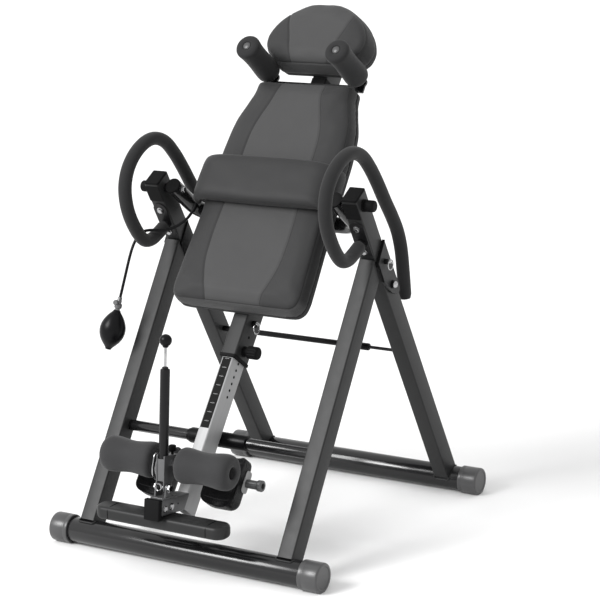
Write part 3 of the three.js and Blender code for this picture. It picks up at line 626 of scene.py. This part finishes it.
def leg_top():
    """Height of the front leg's slanted top in its own frame: (at the axis, per millimetre of depth)."""
    into = FRONT.inverted() @ REAR
    a = into @ Vector((0, -29.1, 500))
    b = into @ Vector((0, -29.1, 900))
    rise = (b.z - a.z) / (b.y - a.y)
    return a.z - rise * a.y, rise


def make_pivots():
    outside = LEG_X + LEG_W / 2
    for word, side in SIDES:
        knob = merged(lathe([(13.2, 0.3), (13.6, 1.2), (13.6, 24), (13.2, 26.4), (11.6, 28.2), (9, 28.8),
            (0.1, 28.8)], "x", (outside, 0, 0), 48), lathe([(15, 0.2), (15, 2.2), (14, 2.8)], "x",
            (outside, 0, 0), 40), rounded_rod(5.9, ARM_X - 12, outside + 2, edge=0.6, seg=24))
        piece(BED, "rear_frame", f"pivot_knob_{word}", mirrored(knob, side), "plastic", f"pivot_pin_{word}")


def make_rear_rod():
    y, z = 168, 409
    rod = rounded_rod(4, -250, 250, "x", (0, y, z), 0.4, 24)
    on_rear("rear_rod_bar", rod, "tube", "rear_cross_rod")
    sleeve = lathe([(4.4, -249.6), (6.8, -249.2), (7, -248), (7, 148), (7.2, 149), (8.8, 150), (9, 152),
        (9, 168), (8.6, 170.5), (7, 172), (4.6, 172)], "x", (0, y, z), 32)
    on_rear("rear_rod_sleeve", sleeve, "rubber", "rear_cross_sleeve")


# ---- handles ----
HANDLE_PATH = [(-78, 695), (-108, 684), (-135, 686), (-158, 703), (-189, 745), (-205, 783), (-209, 825),
    (-196, 864), (-166, 897), (-124, 919), (-84, 924), (-42, 911), (-5, 880), (30, 840), (66, 793),
    (100, 751), (127, 712), (145, 668), (156, 612), (166, 542)]


def make_handles():
    seat = FLOOR.inverted() @ (REAR @ Vector((0, -25.6, 806)))
    for word, side in SIDES:
        x = side * LEG_X
        line = smooth_line([(x, seat.y, seat.z)] + [(x, y, z) for y, z in HANDLE_PATH], 7)
        grip = sweep(line[2:], 16, 32, rounding=2.5)
        end = line[-1]
        way = (line[-1] - line[-2]).normalized()
        plug = lathe([(9, -3), (9, 0.6), (8, 1.4), (0.1, 1.4)], "z", seg=28)
        plug = moved(plug, *end, turn=facing(way))
        on_rear(f"handle_grip_{word}_foam", merged(grip, plug), "foam", f"handle_grip_{word}")
        outline = [(-19, 770), (19, 770)] + arc((0, 850), 19, 0, pi, 16)
        back = plate(outline, -28.2, -25.3, "xz")
        tube = sweep([(0, -28, 806), (0, -36, 805)], 12, 24)
        on_leg(f"handle_plate_{word}_steel", moved(merged(back, tube), x), "plate", f"handle_plate_{word}",
            bevel=0.8)
        # A thin black plastic sheet on the leg's front face near its top: painted shade for the shaded front
        # of the leg's top.
        cover = plate(rounded_rect(LEG_W - 1, 44, 2), -LEG_D / 2 - 1.6, -LEG_D / 2 - 0.1, "xz")
        on_leg(f"leg_cover_{word}", moved(cover, x, 0, PIVOT), "plastic", bevel=0.4)
        bolts = merged(*(hex_bolt((x, -28.3, at), "-y", 6.6, 5.2, 8.6) for at in (849, 781)))
        on_leg(f"handle_bolts_{word}", bolts, "chrome")


# ---- front frame's brackets, bolts, stop bar and pins ----
def make_brackets():
    wall, cheek_wall = LEG_W / 2 + 0.4, 6.4
    for word, side in SIDES:
        x = side * LEG_X
        cheek = [(-28.3, 745), (24, 773), (24, 640)] + arc((12, 634), 12, 0, -pi * 0.75, 6) + [(-12, 644),
            (-28.3, 690)]
        shape = merged(plate(corners(-wall - 2.8, wall + cheek_wall, -28.3, -25.5), 690, 745, "xy"),
            plate(cheek, wall, wall + cheek_wall), plate(cheek, -wall - 2.8, -wall))
        on_bracket(f"fold_bracket_{word}_steel", moved(mirrored(shape, side), x), "frame",
            f"fold_bracket_{word}", bevel=0.7)
        # Black strips along the bracket's slanted top edge and front: painted shade for the shaded gap
        # between the leg and the cheeks.
        slant = [(-29.6, 744.6), (25, 773.8), (25, 776), (-29.8, 746.9)]
        gap_shade_strips = merged(plate(slant, wall - 0.2, wall + cheek_wall + 0.8), plate(slant, -wall - 3.6,
            -wall + 0.2), plate(corners(-wall - 3.2, wall + 7, -29.8, -28.6), 738, 746.4, "xy"))
        on_bracket(f"bracket_edging_{word}", moved(mirrored(gap_shade_strips, side), x), "plastic", bevel=0.4)
        out, inner = LEG_X + wall + cheek_wall, LEG_X - wall - 3
        spacer = lathe([(10, 0), (10, 1.4), (7.4, 2), (7.4, 5.6)], "x", (out, 0, FOLD), 32)
        on_bracket(f"fold_spacer_{word}", mirrored(spacer, side), "plastic")
        dome = [(8.4, out + 5.4), (8.6, out + 6.4), (7.8, out + 9), (5.6, out + 11), (2.6, out + 11.9),
            (0.1, out + 12.1)]
        pivot = merged(lathe(dome, "x", (0, 0, FOLD), 32), hex_bolt((inner, 0, FOLD), "-x", 8.5, 6, 9.5),
            rounded_rod(5.9, inner, out, "x", (0, 0, FOLD), 0.4, 20))
        on_bracket(f"fold_bolt_{word}_zinc", mirrored(pivot, side), "chrome", f"fold_bolt_{word}")
        barrel, ring = pull_pin(LEG_X + wall + 0.3, out, 12, 6.4)
        for part, shape, look in (("barrel", barrel, "plastic"), ("ring", ring, "chrome")):
            shape = moved(mirrored(shape, side), 0, 0, LOCK)
            piece(REAR, f"lock_pin_{word}", f"lock_pin_{word}_{part}", shape, look,
                f"fold_lock_pin_{word}" if part == "ring" else ())


def pull_pin(tip, seat, ring, barrel=8):
    """A spring pin along +x: its black barrel, and its stem with a split ring through the head."""
    b = barrel
    body = lathe([(b - 1.8, 0.2), (b, 0.8), (b, 6.4), (b - 0.8, 7.6), (4.6, 8), (0.1, 8)], "x", (seat, 0, 0),
        32)
    head = lathe([(4.4, 7.9), (4.6, 9), (4.2, 13.4), (3, 14.6), (0.1, 14.8)], "x", (seat, 0, 0), 28)
    stem = rounded_rod(4, tip, seat + 1, edge=0.8, seg=20)
    loop = [(seat + 12, ring * sin(t), 3 - ring + ring * cos(t)) for t in turns(40)]
    return body, merged(head, stem, sweep(loop, 1.5, 10, closed=True))


def make_stop():
    y, z = (FLOOR.inverted() @ middle("stop_bar")).yz
    rod = rounded_rod(13, -251, 251, "x", (0, y, z), 0.4, 40)
    piece(FLOOR, "front_frame", "stop_bar_paint", rod, "tube", "stop_bar")
    sleeve = lathe([(14, -84), (15.2, -83.6), (15.6, -82), (15.6, -78.5), (17, -78), (18, -77), (18.5, -75),
        (18.5, 75), (18, 77.2), (16.5, 78), (13.6, 78)], "x", (0, y, z), 48)
    piece(FLOOR, "front_frame", "stop_sleeve_rubber", sleeve, "rubber", "stop_sleeve")


# ---- bed ----
def make_cradle():
    bend = [(ARM_X - ARM_BEND + ARM_BEND * cos(t), CROSS_Y - ARM_BEND + ARM_BEND * sin(t))
        for t in (pi / 2 * i / 14 for i in range(15))]
    right = [(ARM_X, -14), (ARM_X, 10), (ARM_X, 50)] + bend + [(100, CROSS_Y), (40, CROSS_Y)]
    line = [(x, y, 0) for x, y in right] + [(-x, y, 0) for x, y in reversed(right)]
    bosses = [rounded_rod(12, s * ARM_X + (10 if s > 0 else -27.6), s * ARM_X + (27.6 if s > 0 else -10), "x",
        (0, 0, 0), 0.8, 32) for s in (-1, 1)]
    on_bed("cradle_tube_paint", merged(sweep(line, ARM_R, 40), *bosses), "tube", "cradle_tube")
    for word, side in SIDES:
        plug = lathe([(ARM_R + 0.1, -14.6), (ARM_R + 0.1, -16.5), (ARM_R - 1, -18.6), (14, -20), (8, -20.4),
            (0.1, -20.4)], "y", (side * ARM_X, 0, 0), 40)
        on_bed(f"cradle_plug_{word}", plug, "plastic")
        bolt = hex_bolt((side * (ARM_X - ARM_R - 0.4), 0, 0), "-x" if side > 0 else "x", 7.2, 6, 9)
        on_bed(f"cradle_bolt_{word}", bolt, "chrome")


def hollow_bar(width, depth, wall, radius, low, high, y):
    """An open-ended box tube with rounded corners."""
    outer = rounded_rect(width, depth, radius)
    inner = rounded_rect(width - 2 * wall, depth - 2 * wall, max(radius - wall, 1.2))
    rings = [[(px, py + y, h) for px, py in s] for s, h in ((inner, low), (outer, low), (outer, high),
        (inner, high))]
    return loft(rings, closed=True)


def make_main_tube():
    shape = hollow_bar(40, 66, 3.2, 4, -358, 499.5, TUBE_Y)
    on_bed("main_tube_paint", shape, "frame", "main_tube", bevel=0.4)
    lid = merged(bar(rounded_rect(40, 66, 4), 499.6, 502.4, (0, TUBE_Y)),
        bar(rounded_rect(36, 62, 4), 502.4, 503.6, (0, TUBE_Y)))
    on_bed("main_tube_lid", lid, "plastic", bevel=0.6)
    outer, inner = rounded_rect(45, 71, 6), rounded_rect(31.2, 59.2, 2)
    rings = [[(px, py + TUBE_Y, h) for px, py in s] for s, h in ((inner, -358.4), (outer, -358.4),
        (outer, -364), (rounded_rect(42, 68, 5), -366), (inner, -366))]
    on_bed("tube_collar_lip", loft(rings, closed=True), "plastic", "tube_collar", bevel=0.5)
    sleeve = hollow_bar(42, 68, 0.9, 4, 335, 374, TUBE_Y)
    on_bed("headrest_post_cover", sleeve, "plastic", bevel=0.3)
    hole = lathe([(3.4, 20.0), (3.4, 20.25), (0.1, 20.25)], "x", (0, TUBE_Y, -302), 20)
    on_bed("main_tube_hole", hole, "dark")
    bolts = [hex_bolt((0, 167.2, at), "y", 6, 4.5, 8) for at in (-190, -110, 80, 190, 346, 430)]
    on_bed("board_bolts", merged(*bolts), "chrome")


BACK_SEAM = [(-262, 76), (-240, 76.5), (-211, 85.5), (-175, 96.5), (-148, 101.5), (-115, 103.5), (-80, 104),
    (-40, 103), (0, 101), (60, 99), (120, 97), (160, 96), (190, 93), (225, 84.5), (272, 68.5), (300, 62.5),
    (336, 61.5)]
HEAD_SEAM = [(374, 48), (413, 60), (443, 69), (470, 79), (505, 89), (550, 97)]
BACK_HALF = [(132, -257), (157, -254), (171, -242), (176, -222), (176, -196), (172, -100), (170, -40),
    (169, 40), (168, 116), (167, 150), (163, 196), (159, 221), (152, 243), (145, 262), (139, 281),
    (133.5, 297), (131, 314), (129.5, 324), (122, 331), (108, 332)]
HEAD_HALF = [(84, 378), (97, 384), (109, 394), (121, 403), (131, 414), (136, 430), (136, 446), (131, 462),
    (125, 474.5), (116, 488.5), (105, 500.5), (92, 512), (78, 522), (64, 530.5), (50, 537), (36, 541),
    (18, 543)]


def full_outline(half):
    """The closed outline of a pad, evenly filled in, from its right-hand half."""
    right = smooth_line([(x, 0, z) for x, z in half], 3)
    left = [Vector((-p.x, 0, p.z)) for p in reversed(right)]
    (first, foot), (last, head) = half[0], half[-1]
    top = [Vector((last - 2 * last * i / 8, 0, head)) for i in range(1, 8)]
    bottom = [Vector((-first + 2 * first * i / 10, 0, foot)) for i in range(1, 10)]
    return [(p.x, p.z) for p in right + top + left + bottom]


def drawn_in(outline, by):
    xs, zs = [x for x, _ in outline], [z for _, z in outline]
    mid, tall, wide = (max(zs) + min(zs)) / 2, (max(zs) - min(zs)) / 2, max(xs)
    return [(x * (1 - by / wide), mid + (z - mid) * (1 - by / tall)) for x, z in outline]


def pad_shape(outline, layers):
    return loft([[(x, y, z) for x, z in drawn_in(outline, by)] for y, by in layers])


def remesh(obj, voxel):
    """Gives a mesh an even grid of faces, voxel mm wide."""
    mod = obj.modifiers.new("remesh", "REMESH")
    mod.mode, mod.voxel_size, mod.use_smooth_shade = "VOXEL", voxel / 1000, True
    applied(obj)


def inflate(obj, back, cap):
    """Swells a closed pad as cloth, held still behind the depth back (bed mm), by no more than cap mm,
    and evens out the swelling over neighbouring points."""
    remesh(obj, PAD_VOXEL)
    into = BED.inverted()
    rest = [v.co.copy() for v in obj.data.vertices]
    held = obj.vertex_groups.new(name="held")
    held.add([v.index for v in obj.data.vertices if (into @ v.co).y > back], 1.0, "REPLACE")
    cloth = obj.modifiers.new("cloth", "CLOTH")
    settings = cloth.settings
    settings.use_pressure = True
    settings.uniform_pressure_force = CLOTH_PRESSURE
    settings.effector_weights.gravity = 0
    settings.vertex_group_mass = "held"
    settings.quality = 5
    settings.tension_stiffness = settings.compression_stiffness = 25
    settings.bending_stiffness = 4
    cloth.collision_settings.use_collision = False
    scene = bpy.context.scene
    for step in range(1, CLOTH_FRAMES + 1):
        scene.frame_set(step)
    applied(obj)
    scene.frame_set(1)
    steps = [v.co - start for v, start in zip(obj.data.vertices, rest)]
    steps = [step * min(1.0, cap / 1000 / max(step.length, 1e-9)) for step in steps]
    near = [[] for _ in steps]
    for edge in obj.data.edges:
        a, b = edge.vertices
        near[a].append(b)
        near[b].append(a)
    for _ in range(EVENING_ROUNDS):
        steps = [(step + sum((steps[j] for j in ring), Vector()) / max(len(ring), 1)) / 2
            for step, ring in zip(steps, near)]
    for vertex, start, step in zip(obj.data.vertices, rest, steps):
        vertex.co = start + step
    obj.vertex_groups.clear()


def refine(obj):
    mod = obj.modifiers.new("smooth", "SUBSURF")
    mod.levels = mod.render_levels = 1
    applied(obj)


def shade_smooth(obj):
    for polygon in obj.data.polygons:
        polygon.use_smooth = True


def groove(obj, seam, front, depth, width):
    """Sinks a sewn seam into the front of a pad, at half widths given by height."""
    into = BED.inverted()
    push = BED.to_3x3() @ Vector((0, 1, 0))
    seam = [(p.z, p.x) for p in smooth_line([(w, 0, h) for h, w in seam], 4)]

    def half_width(z):
        for (h0, w0), (h1, w1) in zip(seam, seam[1:]):
            if z <= h1:
                return w0 + (w1 - w0) * (max(z, h0) - h0) / (h1 - h0)
        return seam[-1][1]

    for vertex in obj.data.vertices:
        spot = into @ vertex.co
        if spot.y > front:
            continue
        gap = abs(abs(spot.x) - half_width(spot.z)) / width
        if gap < 1:
            vertex.co += push * (depth * (1 - gap * gap) ** 2)


def rim_groove(obj, depth):
    """Draws the cover in where the front panel is sewn to the side."""
    into = BED.inverted()
    for vertex in obj.data.vertices:
        gap = abs((into @ vertex.co).y - depth) / 4
        if gap < 1:
            vertex.co -= vertex.normal * (0.0012 * (1 - gap * gap) ** 2)


def pad(name, half, layers, look, stands_for, back, seam, front, cap):
    verts, faces = pad_shape(full_outline(half), layers)
    obj = new_object(name, [BED @ p for p in verts], faces)
    finish_mesh(obj, radians(60))
    inflate(obj, back, cap)
    mod = obj.modifiers.new("even", "SMOOTH")
    mod.factor, mod.iterations = 0.5, 3
    refine(obj)
    groove(obj, seam, front, 1.8, 4.0)
    rim_groove(obj, front + 0.5)
    obj.data.materials.clear()
    obj.data.materials.append(LOOKS[look])
    shade_smooth(obj)
    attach(obj, "bed")
    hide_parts(stands_for)


def make_pads():
    back_layers = [(PAD_FRONT + 2, 40), (PAD_FRONT + 1, 22), (PAD_FRONT + 2, 11), (PAD_FRONT + 5, 4.5),
        (PAD_FRONT + 10, 1), (PAD_FRONT + 18, -1), (PAD_BACK - 8, -2.5), (PAD_BACK - 1, -2.5), (PAD_BACK, 0)]
    pad("backrest_cushion", BACK_HALF, back_layers, "pad", "backrest_pad", 58, BACK_SEAM, 50, 5)
    head_layers = [(24, 50), (22.5, 26), (23.4, 12), (26, 6), (30.5, 2.4), (38, 0), (54, -3),
        (PAD_BACK - 6, -6), (PAD_BACK, -4)]
    pad("headrest_cushion", HEAD_HALF, head_layers, "head", "headrest_pad", 52, HEAD_SEAM, 36.5, 5)
    for name, half, node_name in (("backrest_back", BACK_HALF, "backrest_board"),
            ("headrest_back", HEAD_HALF, "headrest_board")):
        outline = full_outline(half)
        layers = [(PAD_BACK + 0.3, 1), (PAD_BACK + 1.5, -2), (96, -2), (99.4, -0.5), (100.5, 3)]
        on_bed(name, pad_shape(outline, layers), "board", node_name, angle=50)


def make_band():
    """The lumbar band: a thick slab across the pad whose ends wrap back round its edges."""
    stations = []
    for x in (0, 30, 60, 90, 118, 140):
        stations.append((x, 13.2, 0, -1, 22.5))
    for k in range(1, 8):
        t = pi / 2 * k / 7
        stations.append((146 + 37.6 * sin(t), 13.2 + 34 * (1 - cos(t)), sin(t), -cos(t),
            22.5 - 15.8 * (k / 7) ** 0.7))
    stations += [(183.6, 55, 1, 0, 6.2), (183.6, 57.8, 1, 0, 4.6)]
    line = [(-x, y, -nx, ny, h) for x, y, nx, ny, h in reversed(stations[1:])] + stations
    rings = []
    for x, y, nx, ny, h in line:
        edge = abs(x) / 190
        low = -13 + 2 * edge
        high = 105 - 18 * max(0.0, edge - 0.62)
        mid, rise = (low + high) / 2, (high - low) / 2
        ring = []
        for t in turns(36):
            across, tall = squared(cos(t), 0.62), squared(sin(t), 0.42)
            ring.append((x + nx * h * across, y + ny * h * across, mid + rise * tall))
        rings.append(ring)
    obj = on_bed("lumbar_band_sleeve", loft(rings), "band", "lumbar_band", angle=80)
    refine(obj)
    into = BED.inverted()
    for vertex in obj.data.vertices:
        spot = into @ vertex.co
        if spot.y < 20:
            wave = noise.noise(Vector((spot.x / 70, spot.z / 34, 3.1))) * 1.6
            vertex.co += BED.to_3x3() @ Vector((0, wave, 0))
    shade_smooth(obj)


def make_shoulders():
    strip = plate(corners(-SHOULDER_X, SHOULDER_X, 338, 356), 93.4, 99.4, "xz")
    ends = [merged(plate(arc((s * SHOULDER_X, SHOULDER_Z), 14, 0, 2 * pi * 31 / 32, 31), 93.4, 99.4, "xz"),
        plate(corners(s * SHOULDER_X - 12, s * SHOULDER_X + 12, 338, SHOULDER_Z), 93.6, 99.2, "xz"),
        rounded_rod(7.5, -42, 95, "y", (s * SHOULDER_X, 0, SHOULDER_Z), 1, 28)) for s in (-1, 1)]
    on_bed("shoulder_bar_steel", merged(strip, *ends), "tube", "shoulder_bar", bevel=0.6, slot="frame")
    profile = [(8, 74), (18, 74.6), (24, 73.4), (27.6, 70), (29.4, 64), (29.9, 54), (29.5, 40), (28.6, 22),
        (28, 2), (28.2, -14), (29, -30), (30.3, -41), (31, -46.5), (30.6, -51), (28.6, -54.8), (24.6, -56.8),
        (18, -57.5), (12.8, -57.3), (11, -56.3), (9.8, -54)]
    for word, side in SIDES:
        at = (side * SHOULDER_X, 0, SHOULDER_Z)
        roll = lathe(profile, "y", at, 56)
        obj = on_bed(f"shoulder_roller_{word}", roll, "foam", f"shoulder_foam_{word}", angle=70)
        button = lathe([(9.8, -54), (9.8, -56), (9, -57.4), (7, -58.4), (3.5, -59), (0.1, -59.1)], "y", at,
            36)
        on_bed(f"shoulder_button_{word}", button, "cap")


def make_height_pins():
    skin = 20.3
    y, s = TUBE_Y, KNOB_Z
    barrel = lathe([(13, 0), (13, 1.6), (11, 2.2), (11, 12.5), (10, 13.4), (0.1, 13.4)], "x", (skin, y, s),
        40)
    rings = []  # the knob's ten flutes are dips in each wide ring
    for x, r in ((10, 12.4), (12, 14.2), (14, 15.2), (17, 15.5), (34, 15.5), (37, 15), (39, 13.4), (40, 11),
            (40.2, 4)):
        ring = []
        for t in turns(60):
            dip = 1.5 * max(0.0, cos(10 * t)) ** 2 if r > 14 else 0
            ring.append((skin + x, y + (r - dip) * cos(t), s + (r - dip) * sin(t)))
        rings.append(ring)
    stem = rounded_rod(4, 15.4, skin + 12, "x", (0, y, s), 0.5, 20)
    piece(BED, "height_pin", "height_knob_grip", merged(barrel, loft(rings), stem), "plastic", "height_knob")
    barrel, ring = pull_pin(15.4, skin, 13)
    piece(BED, "storage_pin", "storage_pin_barrel", moved(barrel, 0, y, RING_Z), "plastic")
    piece(BED, "storage_pin", "storage_pin_ring", moved(ring, 0, y, RING_Z), "chrome", "storage_ring_pin")


# ---- boom: height tube, foot bracket, footrest, axle and cups ----
def make_height_tube():
    shape = hollow_bar(30, 58, 2.2, 3.5, -738, -180, TUBE_Y)
    on_boom("height_tube_steel", shape, "steel", "height_tube", bevel=0.3)
    holes = []
    for i in range(6):
        at = (15, TUBE_Y, -370 - 16.8 * i)
        holes.append(lathe([(3.4, 0.02), (3.4, 0.12), (2.7, 0.2), (2.4, -0.4), (0.1, -0.6)], "x", at, 24))
    on_boom("height_tube_holes", merged(*holes), "dark", angle=20)
    face = 105
    strip = plate(corners(-11.5, 11.5, -543, -367), face - 0.35, face + 0.1, "xz")
    on_boom("height_scale", strip, "strip", bevel=0.15)
    marks = []
    for i in range(8):
        z = -370 - 22.3 * i
        for x0, x1, h in ((-5.6, -2, 0.5), (-1.3, -0.5, 1.3), (0.5, 1.3, 1.3), (2, 5.6, 0.5)):
            marks.append(plate(corners(x0, x1, z - h, z + h), face - 0.5, face - 0.3, "xz"))
    on_boom("height_scale_marks", merged(*marks), "ink")


def make_foot_bracket():
    section = rounded_rect(38, 36, 2.5)
    into = FOOT.inverted() @ BED
    low, high = into @ Vector((0, 104.6, -760)), into @ Vector((0, 104.6, -500))

    def back(z):
        return low.y + (high.y - low.y) * (z - low.z) / (high.z - low.z)

    ring_front = [(x, 3, z) for x, z in section]
    ring_back = [(x, back(z), z) for x, z in section]
    rail = moved(plate(rounded_rect(34, 56, 3), 17.6, 22, "xy"), 0, 36)
    y, z = (FOOT.inverted() @ HINGE).yz
    ear = [(22, 20), (52, 20)] + arc((y, z), 11, -0.4, pi + 0.3, 12)
    ears = merged(plate(ear, 11.6, 15.4), plate(ear, -15.4, -11.6))
    on_foot("foot_bracket_steel", merged(loft([ring_front, ring_back]), rail, ears), "zinc", "foot_bracket",
        bevel=0.6, slot="frame")
    outline = rounded_rect(41, 48, 2.5)
    rings = [[(px, d, pz - 4) for px, pz in outline] for d in (2.6, -7.6)]
    rings.append([(px * 0.94, -9.4, pz * 0.95 - 4) for px, pz in outline])
    rings.append([(px * 0.86, -9.8, pz * 0.88 - 4) for px, pz in outline])
    on_foot("foot_bracket_end", loft(rings), "plastic", "foot_bracket_cap", bevel=0.6)
    bolts = merged(*(hex_bolt((19.1, d, h), "x", 6.2, 3.6, 8) for d, h in ((17, -3), (42, -1))))
    on_foot("foot_bracket_bolts", bolts, "chrome")
    dot = lathe([(2.2, 19.0), (2.2, 19.2), (0.1, 19.2)], "x", (0, 68, 2), 16)
    on_foot("foot_bracket_hole", dot, "dark")
    pin = merged(rounded_rod(5.9, -20, 20, edge=0.5, seg=24), hex_bolt((15.7, 0, 0), "x", 8.5, 6.2, 10),
        hex_bolt((-15.7, 0, 0), "-x", 8.5, 6.2, 9.5))
    piece(LEVER, "boom", "lever_hinge_nut", pin, "chrome", "lever_hinge_bolt")


def make_footrest():
    low, high = (FLOOR.inverted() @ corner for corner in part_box("footrest_bar"))
    mid = (low + high) / 2
    half, deep, tall = high.x, (high.y - low.y) / 2, (high.z - low.z) / 2
    rings = []
    for inset, z in both_ends([(8, 0), (4, 1), (1.2, 4), (0, 9)], tall):
        outline = rounded_rect(2 * (half - inset), 2 * (deep - inset), 24 - inset, 8)
        rings.append([(x, mid.y + y, mid.z + z) for x, y in outline])
    piece(FLOOR, "boom", "footrest_shell", loft(rings), "frame", "footrest_bar", angle=50, slot="footbar")
    seams = []
    for s in (-1, 1):
        outline = [(s * 132, mid.y + (deep + 0.2) * squared(cos(t), 0.55),
            mid.z + (tall + 0.2) * squared(sin(t), 0.5)) for t in turns(28)]
        seams.append(sweep(outline, 0.9, 8, closed=True))
    piece(FLOOR, "boom", "footrest_joints", merged(*seams), "plastic", slot="footbar")


def make_heel_cups():
    reach = 177
    flange = [(9, 0), (12.4, 0.6), (13, 1.6), (13, 11), (12.4, 12), (10, 12.4)]
    socket = [(7, reach), (6.4, reach - 12), (0.1, reach - 12)]
    shaft = both_ends(flange, reach) + socket
    on_boom("heel_axle_chrome", lathe(shaft, "x", (0, HEEL_Y, HEEL_Z)), "zinc", "heel_axle", slot="steel")
    half, lip, front, hollow, back, low, high = 44, 41, 106, 124, 151, -714, -595
    deep = hollow - front
    radius = (lip * lip + deep * deep) / (2 * deep)
    start = atan2(front - hollow + radius, lip)
    inner = arc((0, hollow - radius), radius, start, pi - start, 18)
    section = inner + [(-44, 107), (-44, 138), (-41, 146), (-34, back), (34, back), (41, 146), (44, 138),
        (44, 107)]
    levels = ((low, 20, 4), (low + 1, 14, 2.6), (low + 3, 9.5, 1.6), (low + 6.5, 5.2, 0.8),
        (low + 11, 2, 0.2), (low + 17, 0.2, 0), (low + 22, 0, 0), (high - 18, 0, 0), (high - 9, 1.5, 0.8),
        (high - 4, 4.5, 2.2), (high - 1, 10, 4), (high, 15, 5.5))
    middle_y = (hollow + back) / 2
    for word, side in SIDES:
        rings = [[(side * CUP_X + x * (1 - a / half), middle_y + (y - middle_y) * (1 - b / 14), z)
            for x, y in section] for z, a, b in levels]
        obj = on_cups(f"heel_cup_{word}_shell", loft(rings), "cup", f"heel_cup_{word}", angle=40)
        seams = []
        for z in (-698, -676, -654, -632, -610):
            line = [(side * CUP_X + x, y - 0.2, z) for x, y in inner[1:-1]]
            seams.append(sweep(line, 0.9, 8, rounding=0.8))
        for x in (-27, -23, 0, 23, 27):
            y = hollow - radius + sqrt(radius * radius - x * x) - 0.2
            seams.append(sweep([(side * CUP_X + x, y, low + 12), (side * CUP_X + x, y, high - 12)], 0.9, 8,
                rounding=0.8))
        on_cups(f"heel_cup_{word}_seams", merged(*seams), "thread")
        x = side * (CUP_X + half)
        clip = moved(plate(rounded_rect(24, 52, 8), min(x, x + 2 * side), max(x, x + 2 * side)), 0, 137,
            HEEL_Z + 2)
        on_cups(f"heel_cup_{word}_plate", clip, "grey", bevel=0.5)


# ---- ankle lever ----
def make_lever():
    cheek = arc((0, 0), 13, pi, 2 * pi, 12) + [(42, 34), (42, 68)] + arc((40, 68), 2, 0, pi / 2,
        3) + [(-12, 74)]
    shape = merged(plate(cheek, 8, 11), plate(cheek, -11, -8), plate(corners(-11, 11, 26, 42), 66.5, 70,
        "xy"))
    on_lever("lever_yoke_steel", shape, "zinc", "lever_yoke", bevel=0.7)
    web = plate(corners(-8, 8, -11, -8.4), 16, 66, "xy")
    on_lever("lever_web_steel", web, "zinc", bevel=0.4, slot="frame")
    tube = lathe([(7.6, 58), (7.6, 60), (10.4, 61), (11, 62.6), (11, 265), (10.4, 267.4), (9, 268.2),
        (7, 268.6), (7, 272), (5.6, 272.8), (3.1, 273)], seg=40)
    on_lever("lever_tube_paint", tube, "plate", "lever_tube", slot="tube")
    rod = rounded_rod(3, 272, 321, "z", (0, 0, 0), 0.4, 24)
    on_lever("lever_rod", rod, "chrome")
    ball = [(14 * sin(t), 332 - 14 * cos(t)) for t in (0.42 + (pi - 0.42) * i / 22 for i in range(23))]
    neck = [(5.6, 316.4), (6.2, 317)]
    on_lever("lever_ball", lathe(neck + ball[1:], seg=48), "rubber", "lever_knob", angle=60)
    axle = rounded_rod(9, -157, 157, "x", (0, AXLE_Y, AXLE_Z), 0.8, 36)
    on_lever("roller_axle_chrome", axle, "chrome", "roller_axle")
    profile = [(12, 32.6), (29, 32.8), (34.6, 34.2), (38.4, 37), (40.5, 41.5), (41, 47), (40.3, 56),
        (38.6, 68), (37, 82), (36.2, 96), (36.8, 109), (38.4, 123), (40.2, 136), (41, 146), (40.9, 153),
        (39.6, 160), (36.6, 165.6), (32, 169), (26, 170), (18, 170), (15.4, 169.6), (14.4, 168), (14, 164.5),
        (0.1, 164.2)]
    for word, side in SIDES:
        roll = lathe([(r, x * side) for r, x in profile], "x", (0, AXLE_Y, AXLE_Z), 60)
        obj = on_lever(f"ankle_roller_{word}_foam", roll, "roller", f"ankle_roller_{word}", angle=55)
        rings = []
        for x, grow in ((164.2, 1.0), (166.6, 1.0), (167.6, 0.94), (168, 0.8), (168.1, 0.1)):
            rings.append([(side * x, AXLE_Y + 9 * grow * cos(t), AXLE_Z + 13.2 * grow * sin(t))
                for t in turns(36)])
        on_lever(f"ankle_roller_{word}_plug", loft(rings), "plastic")
    button = merged(rounded_rod(3, 62.2, 78, "z", (0, 34.5, 0), 0.4, 20),
        lathe([(6.6, 76.6), (8, 77.4), (8.5, 79), (8.5, 87), (8, 89.2), (6, 90.6), (0.1, 91)], "z",
        (0, 34.5, 0), 32))
    piece(LEVER, "release", "release_button_cap", button, "plastic", "release_button")
    wire = smooth_line([(-13, 10, 6), (-15.5, 2, 14), (-17.5, -8, 20), (-18, -15, 28), (-18, -17, 42),
        (-18, -14, 58), (-17.5, -11, 70), (-16.5, -7, 76), (-15.5, -2, 75), (-15, -3, 66), (-15.5, -7, 52),
        (-16, -8, 40), (-16, -4, 26), (-15, 3, 15)], 6)
    coil = [(8 * cos(pi * i / 6) - 2, -12.6 - 1.7 * i / 12, 8 * sin(pi * i / 6) + 3) for i in range(0, 31)]
    on_lever("lever_latch_wire", merged(sweep(wire, 1.5, 10, rounding=1), sweep(coil, 1.3, 8)), "chrome")


bpy.context.scene.frame_set(1)
set_camera()
LOOKS.update(load_materials())
make_pump()
set_light()
make_floor()
make_base("rear", "rear_frame", (FLOOR.inverted() @ middle("rear_base_tube")).y)
make_base("front", "front_frame", (FLOOR.inverted() @ middle("front_base_tube")).y)
make_legs()
make_pivots()
make_rear_rod()
make_handles()
make_brackets()
make_stop()
make_cradle()
make_main_tube()
make_pads()
make_band()
make_shoulders()
make_height_pins()
make_height_tube()
make_foot_bracket()
make_footrest()
make_heel_cups()
make_lever()
